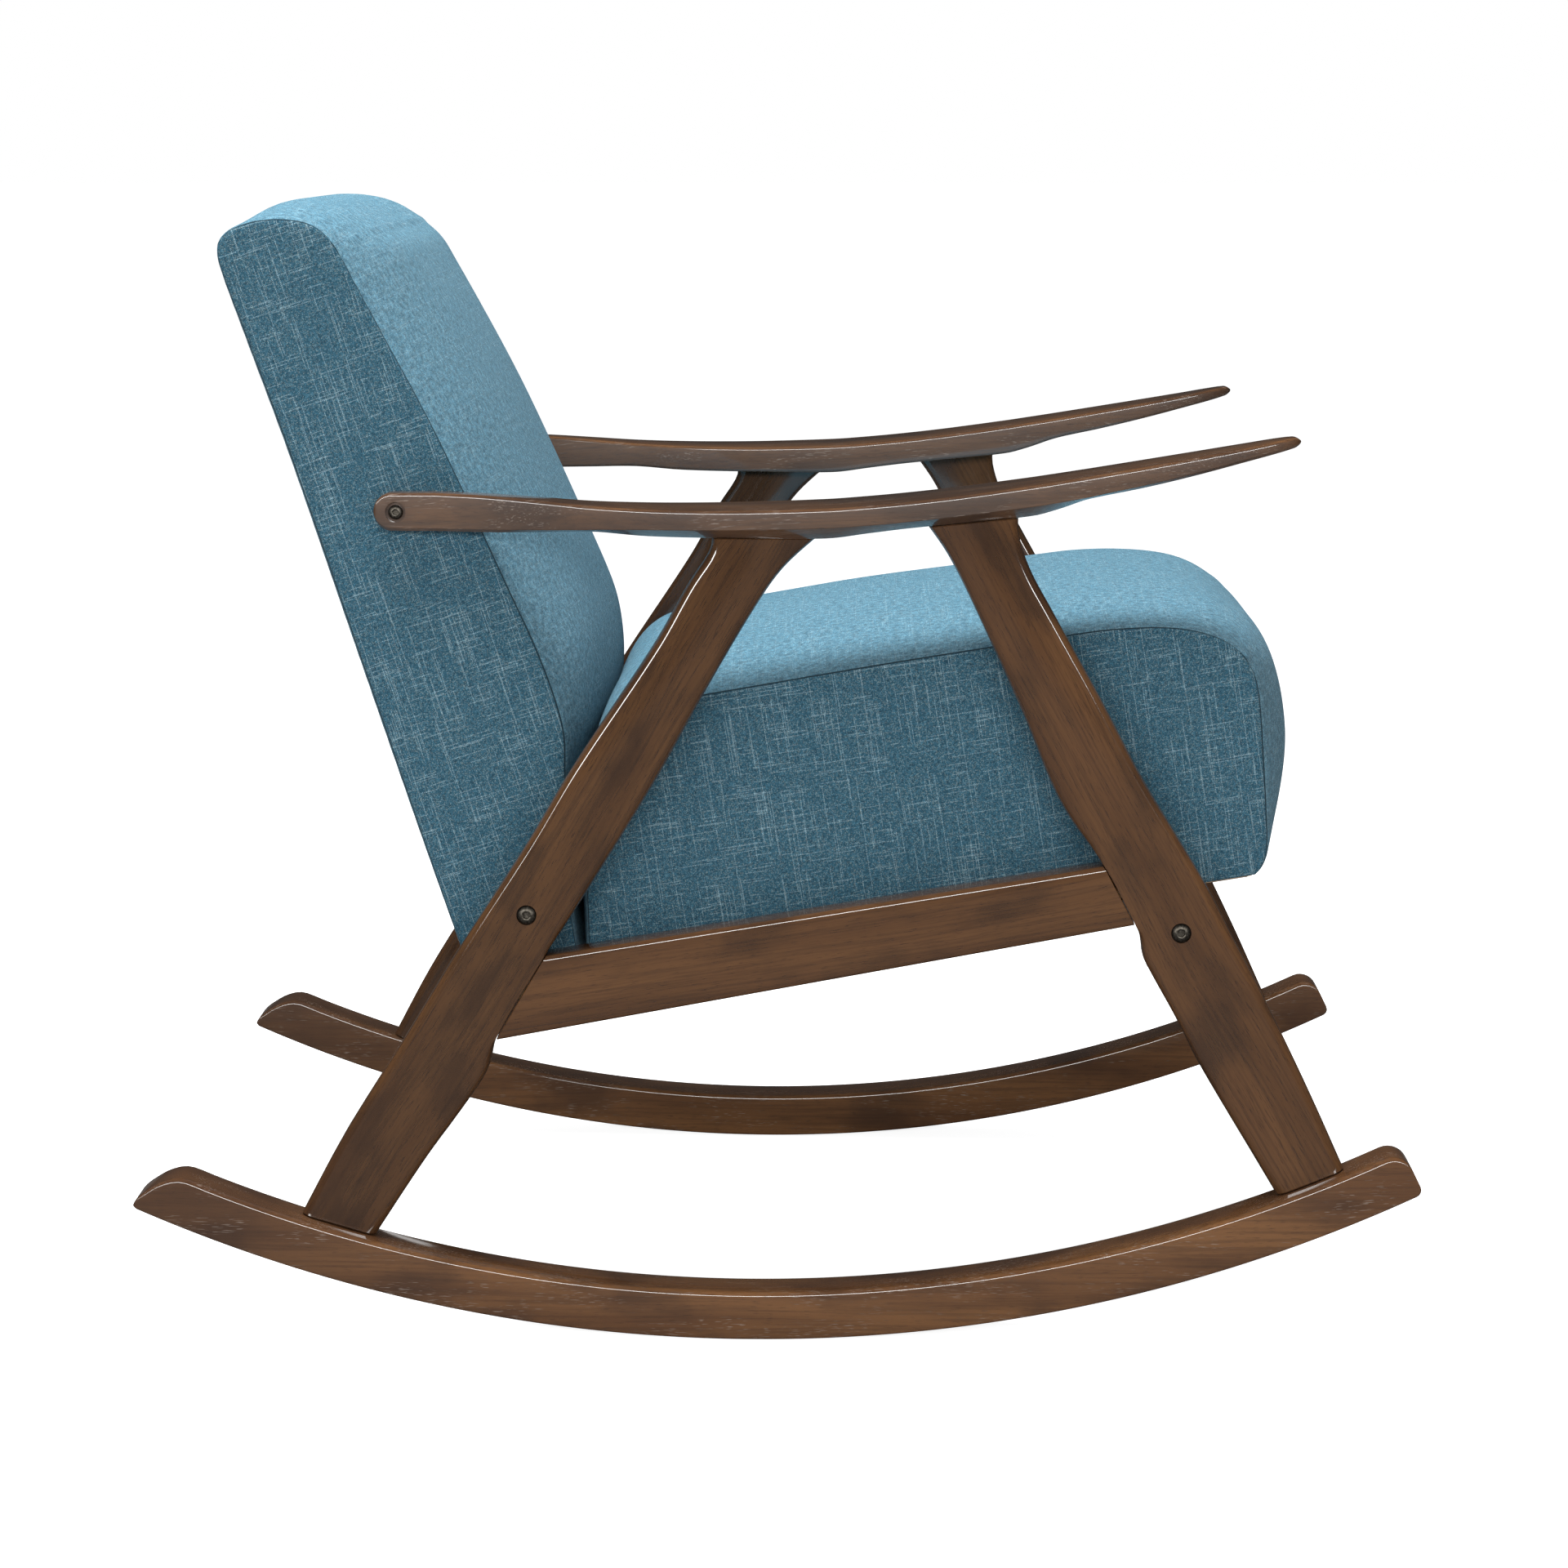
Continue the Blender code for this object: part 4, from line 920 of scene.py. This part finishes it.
class Cover:
    """A closed cover. edges holds the outline's bottom, front, top and rear, each as 2D points:
    bottom runs to the front, front upwards, top to the rear, and rear downwards."""

    def __init__(self, name, edges, half, place, step, crown, side_swell):
        self.name, self.half, self.place = name, half, place
        bottom, front, top, rear = edges
        across = spaced(0.5 * (distances(bottom)[-1] + distances(top)[-1]), step)
        upward = spaced(0.5 * (distances(front)[-1] + distances(rear)[-1]), step)
        self.sides = [along_path(bottom, across), along_path(front, upward),
                      along_path(top, across), along_path(rear, upward)]
        self.loop = np.concatenate([side[:-1] for side in self.sides])
        self.widths = [2 * half * f - half for f in spaced(2 * half, step)]
        self.normals = self.loop_normals()
        self.crown, self.side_swell = crown, side_swell
        self.verts, self.tags, self.faces, self.uvs, self.finishes = [], [], [], [], []
        wrap = [self.add_ring(w) for w in self.widths]
        self.add_wrap(wrap)
        self.seams = [wrap[0], wrap[-1]]
        self.wrap_count = len(self.verts)
        for seam, w in zip(self.seams, (-half, half)):
            self.add_side(seam, w)
        self.tags = np.array(self.tags)
        self.object = self.sew()

    def loop_normals(self):
        ahead = np.roll(self.loop, -1, axis=0) - np.roll(self.loop, 1, axis=0)
        ahead /= np.linalg.norm(ahead, axis=1)[:, None]
        return np.stack([ahead[:, 1], -ahead[:, 0]], axis=1)

    def add_point(self, p, out, y, tag):
        """Adds a point, with a tag that says where it lies: p and its place across the chair."""
        self.verts.append(self.place(p[0] + out[0], p[1] + out[1], y))
        self.tags.append((p[0], p[1], tag))
        return len(self.verts) - 1

    def add_face(self, corners, uv, finish):
        self.faces.append(tuple(corners))
        self.uvs.append(tuple(uv))
        self.finishes.append(finish)

    def add_ring(self, w):
        """Adds the outline's points, pushed out by the crown, at w across the chair."""
        return [self.add_point(p, normal * self.crown(p, w / self.half), w, w)
                for p, normal in zip(self.loop, self.normals)]

    def add_wrap(self, wrap):
        """Adds the faces of the panel that wraps over the block."""
        count = len(self.loop)
        arc = distances(np.vstack([self.loop, self.loop[:1]]))
        for (near, here), (far, there) in zip(zip(self.widths, wrap), zip(self.widths[1:], wrap[1:])):
            for k in range(count):
                j = (k + 1) % count
                self.add_face((here[k], here[j], there[j], there[k]),
                              ((arc[k], near), (arc[k + 1], near), (arc[k + 1], far), (arc[k], far)),
                              FACE_CLOTH)

    def add_side(self, seam, w):
        """Adds a flat side panel. Its rim is the seam, and inside it is a Coons patch, which
        blends the outline's four edges across the panel."""
        bottom, front, top, rear = self.sides
        top, rear = top[::-1], rear[::-1]
        m, n = len(bottom), len(front)
        us, vs = [steps / steps[-1] for steps in (distances(bottom), distances(rear))]
        index, flat = {}, {}
        for i in range(m):
            for j in range(n):
                u, v = us[i], vs[j]
                p = ((1 - v) * bottom[i] + v * top[i] + (1 - u) * rear[j] + u * front[j]
                     - (1 - u) * (1 - v) * bottom[0] - u * (1 - v) * bottom[-1]
                     - (1 - u) * v * top[0] - u * v * top[-1])
                flat[i, j] = p
                if j == 0:
                    index[i, j] = seam[i]
                elif i == m - 1:
                    index[i, j] = seam[m - 1 + j]
                elif j == n - 1:
                    index[i, j] = seam[(m - 1) + (n - 1) + (m - 1 - i)]
                elif i == 0:
                    index[i, j] = seam[2 * (m - 1) + (n - 1) + (n - 1 - j)]
                else:
                    swell = math.copysign(self.side_swell(u, v), w)
                    index[i, j] = self.add_point(p, (0.0, 0.0), w + swell, math.copysign(ON_SIDE, w))
        for i in range(m - 1):
            for j in range(n - 1):
                ring = [(i, j), (i + 1, j), (i + 1, j + 1), (i, j + 1)]
                if w > 0:
                    ring.reverse()
                self.add_face((index[c] for c in ring), (tuple(flat[c]) for c in ring), SIDE_CLOTH)

    def sew(self):
        """The cover as an object, its faces turned outwards."""
        mesh = bpy.data.meshes.new(self.name)
        mesh.from_pydata(self.verts, [], self.faces)
        layer = mesh.uv_layers.new(name="weave")
        layer.data.foreach_set("uv", np.array(self.uvs, float).ravel())
        mesh.polygons.foreach_set("material_index", self.finishes)
        mesh.materials.append(face_cloth)
        mesh.materials.append(side_cloth_painted_shade)
        bm = bmesh.new()
        bm.from_mesh(mesh)
        bmesh.ops.recalc_face_normals(bm, faces=bm.faces)
        litres = 1000 * bm.calc_volume(signed=True)
        bm.to_mesh(mesh)
        bm.free()
        mesh.shade_smooth()
        print(self.name, len(self.verts), "points,", len(self.faces), "faces,", round(litres, 1), "litres")
        return add_object(self.name, mesh)


# %% [markdown]
# ## Filling a cover out
# Pressure pushes the cloth outwards from inside while the seams and the bottom are held. Twenty
# frames are enough for the panels to tighten into their crowned shape. The distance that a
# point may move is capped, so that the cover keeps its size.

# %% Cloth simulation with a cap
FILL_FRAMES = 20
CLOTH = {"quality": 6, "mass": 0.3, "tension_stiffness": 25.0, "compression_stiffness": 18.0,
         "shear_stiffness": 12.0, "bending_stiffness": 1.2, "vertex_group_mass": "held",
         "use_pressure": True, "uniform_pressure_force": 4.0}


def read_points(mesh, what="co"):
    flat = np.empty(len(mesh.vertices) * 3)
    mesh.vertices.foreach_get(what, flat)
    return flat.reshape(-1, 3)


def even_out(mesh, move, held, rounds=40):
    """Averages each point's movement with its neighbours', which takes out small wrinkles."""
    edges = np.empty(len(mesh.edges) * 2, dtype=int)
    mesh.edges.foreach_get("vertices", edges)
    a, b = edges.reshape(-1, 2).T
    count = np.bincount(np.concatenate([a, b]), minlength=len(move))[:, None]
    for _ in range(rounds):
        total = np.zeros_like(move)
        np.add.at(total, a, move[b])
        np.add.at(total, b, move[a])
        move = 0.5 * move + 0.5 * total / count
        move[held] = 0.0
    return move


def fill_out(piece, held, cap):
    """Simulates the cover under pressure and keeps the result, each point moved by its cap at most."""
    before = read_points(piece.data)
    group = piece.vertex_groups.new(name="held")
    group.add([int(i) for i in held], 1.0, "REPLACE")
    step = piece.modifiers.new("Cloth", "CLOTH")
    for key, value in CLOTH.items():
        setattr(step.settings, key, value)
    step.settings.effector_weights.gravity = 0.0
    step.collision_settings.use_collision = False
    step.point_cache.frame_start = 1
    step.point_cache.frame_end = FILL_FRAMES
    for frame_number in range(1, FILL_FRAMES + 1):
        scene.frame_set(frame_number)
    filled = piece.evaluated_get(bpy.context.evaluated_depsgraph_get())
    after = read_points(filled.data)
    move = even_out(piece.data, after - before, held)
    length = np.linalg.norm(move, axis=1) + 1e-9
    move *= (cap * np.tanh(length / cap) / length)[:, None]
    piece.modifiers.clear()
    piece.vertex_groups.clear()
    scene.frame_set(1)
    piece.data.vertices.foreach_set("co", (before + move).ravel())
    piece.data.update()
    print(piece.name, "filled out by up to", round(float(length.max()) * 1000, 1), "mm, kept",
          round(float(np.linalg.norm(move, axis=1).max()) * 1000, 1), "mm")


# %% Draw the seams in and finish the surface
SEAM_DEPTH, SEAM_REACH = 0.0013, 0.0022
# the seams' dark line is painted shade in their creases
SEAM_SHADE_REACH = 0.0011    # half the width of the dark line
PUCKER_DEPTH, PUCKER_REACH, PUCKER_PITCH = 0.00035, 0.012, 0.019


def draw_seams(cover, cross_seams=()):
    """Pulls the cloth in along the seams, puckers it a little beside them, marks a line of painted
    shade along them, and subdivides it.
    """
    piece = cover.object
    mesh = piece.data
    points = read_points(mesh)
    normals = read_points(mesh, "normal")
    tags = cover.tags
    on_wrap = np.arange(len(points)) < cover.wrap_count
    gaps = np.linalg.norm(tags[:, None, :2] - cover.loop[None, :, :], axis=2)
    near = np.where(on_wrap, cover.half - np.abs(tags[:, 2]), gaps.min(axis=1))
    arc = distances(cover.loop)
    run = arc[gaps.argmin(axis=1)]
    for at in cross_seams:
        distance = np.abs(run - arc[at])
        near = np.where(on_wrap, np.minimum(near, distance), near)
    groove = np.exp(-(near / SEAM_REACH)**2)
    ripple = np.sin(run * 2 * math.pi / PUCKER_PITCH + 2.0 * np.sin(run * 23.0) + tags[:, 2] * 40.0)
    pucker = PUCKER_DEPTH * ripple * np.exp(-near / PUCKER_REACH) * (1 - groove)
    points += normals * (pucker - SEAM_DEPTH * groove)[:, None]
    mesh.vertices.foreach_set("co", points.ravel())
    # a mark along the seams, where the cloth gets painted shade
    mark = mesh.attributes.new("seam", "FLOAT", "POINT")
    mark.data.foreach_set("value", np.exp(-(near / SEAM_SHADE_REACH)**2))
    mesh.update()
    smooth = piece.modifiers.new("smooth", "SUBSURF")
    smooth.levels = smooth.render_levels = 1
    apply_steps(piece)
    piece.data.shade_smooth()


def step_between(value, low, high):
    """0 below low, 1 above high, smooth between."""
    t = np.clip((value - low) / (high - low), 0.0, 1.0)
    return t * t * (3 - 2 * t)


# %% [markdown]
# ## Seat
# The seat is a thick block, some 21 cm deep, whose top rolls over the front in a waterfall and is
# crowned by 1 to 2 cm between the side seams. The front stands out by some 3 cm at its middle.
# The sides are nearly flat.

# %% Seat cover
SEAT_BOTTOM = [(-0.5272, 0.0010), (-0.40, 0.0010), (-0.20, 0.0010), (0.0, 0.0010)]
SEAT_FRONT = [(0.0, 0.0010), (0.0075, 0.0085), (0.0125, 0.0200), (0.0160, 0.0490), (0.0190, 0.0810),
              (0.0232, 0.1290), (0.0232, 0.1540), (0.0175, 0.1720)]
SEAT_UPPER = [(0.0175, 0.1720), (0.0050, 0.1865), (-0.0155, 0.1980), (-0.0410, 0.2055), (-0.0760, 0.2100),
              (-0.1120, 0.2115), (-0.2500, 0.2125), (-0.3900, 0.2115), (-0.4360, 0.2108),
              (-0.4650, 0.2065), (-0.4860, 0.1920), (-0.4995, 0.1655)]
SEAT_BACK = [(-0.4995, 0.1655), (-0.5080, 0.1265), (-0.5140, 0.0900), (-0.5195, 0.0490), (-0.5272, 0.0010)]
PANEL_STEP = 0.0085
# how far the top stands out at its middle, near its rear edge, at the middle and at the front
REAR_CROWN, MIDDLE_CROWN, FRONT_CROWN = 0.003, 0.020, 0.010
LOW_REAR_CROWN = 0.007
SEAT_FLATNESS, BACK_FLATNESS = 3.6, 4.5    # a higher power keeps a panel flat nearer to its seams
# how far the front stands out at its middle, by height
front_swell = smooth_curve([(0.0, 0.0), (0.020, 0.0120), (0.050, 0.0245), (0.085, 0.0320), (0.120, 0.0310),
                            (0.150, 0.0262), (0.180, 0.0195), (0.200, 0.0148), (0.230, 0.0105)])


def seat_crown(p, w):
    """How far the wrapping panel stands out at outline point p, at w from -1 to 1 across."""
    s, t = p
    if t < 0.004:
        return 0.0
    top = REAR_CROWN + (MIDDLE_CROWN - REAR_CROWN) * step_between(s, -0.50, -0.44)
    top += (FRONT_CROWN - MIDDLE_CROWN) * step_between(s, -0.30, -0.08)
    low_rear = LOW_REAR_CROWN * (1 - step_between(t, 0.05, 0.15)) * step_between(t, 0.0, 0.02) * (s < -0.4)
    over = (top + low_rear) * step_between(t, 0.0, 0.03)
    share = step_between(s, -0.05, 0.0)
    return float((over * (1 - share) + front_swell(t) * share) * (1 - abs(w)**SEAT_FLATNESS))


def seat_side(u, v):
    return float(0.002 * math.sin(math.pi * u)**0.5 * math.sin(math.pi * v)**0.5)


seat = Cover("seat_cover", (SEAT_BOTTOM, SEAT_FRONT, SEAT_UPPER, SEAT_BACK), SEAT_HALF, seat_place,
             PANEL_STEP, seat_crown, seat_side)
held = np.union1d(np.array(seat.seams).ravel(), np.where(seat.tags[:, 1] < 0.006)[0])
fill_out(seat.object, held, np.where(np.abs(seat.tags[:, 2]) > 1.0, 0.0035, 0.0080))
draw_seams(seat)
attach(seat.object, "root")
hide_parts("seat_cushion")

# %% [markdown]
# ## Back
# The back is a wedge of foam on a frame: thickest at the height of the lower back, thinner at the
# top, where the panel rolls over to the rear edge. A second seam runs across there, and the rear
# panel below it is pulled flat over the frame. The armrests' paddles press on the side panels, so
# these stay flat.

# %% Back cover
BACK_BOTTOM = [(-0.0005, -0.0045), (0.0277, -0.0185), (0.0556, -0.0325), (0.0838, -0.0470)]
BACK_FRONT = [(0.0838, -0.0470), (0.0892, -0.0120), (0.0950, 0.0200), (0.1080, 0.0620), (0.1230, 0.1090),
              (0.1325, 0.1440), (0.1325, 0.2000), (0.1260, 0.2630), (0.1124, 0.3830), (0.0980, 0.4690),
              (0.0910, 0.5090), (0.0850, 0.5450)]
BACK_TOP = [(0.0850, 0.5450), (0.0760, 0.5650), (0.0580, 0.5770), (0.0340, 0.5840), (0.0110, 0.5840),
            (-0.0010, 0.5770)]
BACK_REAR = [(-0.0010, 0.5770), (-0.0050, 0.5600), (-0.0035, 0.5000), (-0.0010, 0.4000), (-0.0010, 0.2500),
             (-0.0010, 0.1000), (-0.0005, -0.0045)]
BACK_CROWN, TOP_CROWN, REAR_PANEL_CROWN = 0.032, 0.012, 0.0015


def back_crown(p, w):
    """How far the wrapping panel stands out at outline point p, at w from -1 to 1 across."""
    d, h = p
    if h < 0.002:
        return 0.0
    if d < 0.0065:
        return float(REAR_PANEL_CROWN * math.sin(math.pi * min(1.0, h / 0.57)) * (1 - abs(w)**4))
    front = BACK_CROWN * step_between(h, 0.06, 0.20)
    top = TOP_CROWN * step_between(d, 0.008, 0.040)
    return float((front + (top - front) * step_between(h, 0.52, 0.575)) * (1 - abs(w)**BACK_FLATNESS))


def back_side(u, v):
    return 0.0


back = Cover("back_cover", (BACK_BOTTOM, BACK_FRONT, BACK_TOP, BACK_REAR), BACK_HALF, back_place,
             PANEL_STEP, back_crown, back_side)
corner = sum(len(side) - 1 for side in back.sides[:3])
cross = np.array([row * len(back.loop) + corner for row in range(len(back.widths))])
held = np.union1d(np.array(back.seams).ravel(), cross)
held = np.union1d(held, np.where(back.tags[:, 1] < 0.004)[0])
# the front and top fill out, the rear and side panels hardly at all
cap = np.where(back.tags[:, 0] < 0.006, 0.0012, 0.0080)
cap[np.abs(back.tags[:, 2]) > 1.0] = 0.0004
fill_out(back.object, held, cap)
draw_seams(back, cross_seams=(corner,))
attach(back.object, "root")
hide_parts("back_cushion", "back_panel")

# %% [markdown]
# ## Staples under the seat
# The lining is stapled to the seat's frame every few centimetres. A staple's crown is a small
# flattened wire. The same tree that set the bolts puts it on points along the lining's edge,
# each turned a little differently, as hand stapling leaves them.

# %% Staples
STAPLE_SPACING = 0.042
STAPLE_LENGTH, STAPLE_WIDTH, STAPLE_HEIGHT = 0.0100, 0.0012, 0.0006
LINING_S = (-0.509, -0.013)
LINING_Y = 0.261


def staple_crown():
    """A flat bar with rounded ends that lies along X. Its top, at z = 0, touches the lining."""
    half, cut = STAPLE_LENGTH / 2, STAPLE_WIDTH / 2
    ring = [(half, 0.5), (half, -0.5), (half - cut, -1.0), (-half + cut, -1.0), (-half, -0.5),
            (-half, 0.5), (-half + cut, 1.0), (half - cut, 1.0)]
    levels = ((0.0, 1.0), (-0.6 * STAPLE_HEIGHT, 1.0), (-STAPLE_HEIGHT, 0.90))
    return skin("staple_crown", [[(x * scale, y * scale * STAPLE_WIDTH / 2, z) for x, y in ring]
                                 for z, scale in levels])


shake = np.random.default_rng(11)
tilt = Matrix.Rotation(-SEAT_TILT, 4, "Y")
points, turns = [], []
along = np.linspace(LINING_S[0], LINING_S[1], round((LINING_S[1] - LINING_S[0]) / STAPLE_SPACING) + 1)
across = np.linspace(-LINING_Y, LINING_Y, round(2 * LINING_Y / STAPLE_SPACING) + 1)[1:-1]
spots = [(s, y, 0.0) for s in along for y in (-LINING_Y, LINING_Y)]
spots += [(s, y, math.pi / 2) for s in LINING_S for y in across]
for s, y, angle in spots:
    points.append(seat_place(s + shake.normal(0, 0.0015), -0.0001, y + shake.normal(0, 0.0008)))
    turns.append(tuple((tilt @ Matrix.Rotation(angle + shake.normal(0, 0.12), 4, "Z")).to_euler()))
staples = scatter("lining_staples", points, turns, [1.0] * len(points), staple_crown(),
                  PLAIN["dark_steel"])
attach(staples, "root")
print(staples.name, len(points), "staples")

# %% [markdown]
# ## Stage, lights and camera
# The chair stands on a plain white floor. Light comes mostly from above, so the top of the seat
# is far brighter than the side panels, whose cloth also has painted shade. A long, low box of
# light behind the camera lights the sides and draws the lines of light along the edges of the wood.

# %% Floor and world
ROOM_LIGHT, ROOM_GLOSS = 0.36, 0.04
FLOOR_REACH = 60.0


def grey(value):
    return rgb(value, value, value)


def seen_by(r, kind):
    """1 for the given kind of ray, such as "Is Camera Ray"."""
    return r.add("ShaderNodeLightPath").outputs[kind]


def stage_floor():
    """A white floor that lights the chair from below, but is dark in the lacquer's reflections."""
    mesh = bpy.data.meshes.new("floor")
    d = FLOOR_REACH
    mesh.from_pydata([(-d, -d, 0), (d, -d, 0), (d, d, 0), (-d, d, 0)], [], [(0, 1, 2, 3)])
    mat, r, shader = new_material("white_floor", (0.80, 0.80, 0.80), 0.9)
    r.fill(shader, {"Base Color": r.mix(seen_by(r, "Is Glossy Ray"), grey(0.50), grey(0.05)),
                    "Specular IOR Level": 0.0, "Emission Color": grey(1.0),
                    "Emission Strength": r.times(seen_by(r, "Is Camera Ray"), 0.86)})
    mesh.materials.append(mat)
    add_object("floor", mesh)


def white_room():
    """White to the eye, a soft light on the cloth, and nearly black in the lacquer."""
    world = bpy.data.worlds.new("white_room")
    world.use_nodes = True
    r = Recipe(world.node_tree)
    plain = r.mix(seen_by(r, "Is Glossy Ray"), grey(ROOM_LIGHT), grey(ROOM_GLOSS))
    r.fill(world.node_tree.nodes["Background"], {
        "Color": grey(1.0), "Strength": r.mix(seen_by(r, "Is Camera Ray"), plain, grey(1.0))})
    scene.world = world


stage_floor()
white_room()
scene.view_settings.view_transform = "Standard"
print("floor:", 2 * FLOOR_REACH, "m wide, room light", ROOM_LIGHT)


# %% Lights
def area_light(name, place, target, width, height, watts, mirrored=True):
    """A box of soft light. If mirrored is off, the lacquer doesn't show it."""
    light = bpy.data.lights.new(name, "AREA")
    light.shape = "RECTANGLE"
    light.size, light.size_y = width, height
    light.energy = watts
    lamp = bpy.data.objects.new(name, light)
    lamp.visible_glossy = mirrored
    lamp.location = place
    lamp.rotation_euler = (Vector(target) - Vector(place)).to_track_quat("-Z", "Y").to_euler()
    scene.collection.objects.link(lamp)
    print(name, width, "x", height, "m,", watts, "W")


area_light("overhead", (-0.45, -0.3, 3.3), (-0.10, 0.0, 0.4), 2.0, 2.0, 245.0, mirrored=False)
area_light("camera_strip", (-0.3, -4.6, 1.60), (0.0, 0.0, 0.5), 8.0, 0.55, 222.0)

# %% Camera
lens = bpy.data.cameras.new("camera")
lens.lens = 88.44
lens.sensor_width = 36.0
camera = bpy.data.objects.new("camera", lens)
camera.location = (0.0679, -3.219, 0.9349)
camera.rotation_euler = (math.radians(90.0 - 9.71), 0.0, math.radians(1.20))
scene.collection.objects.link(camera)
scene.camera = camera
print("camera:", lens.lens, "mm lens,", round(camera.location.length, 2), "m from the chair")
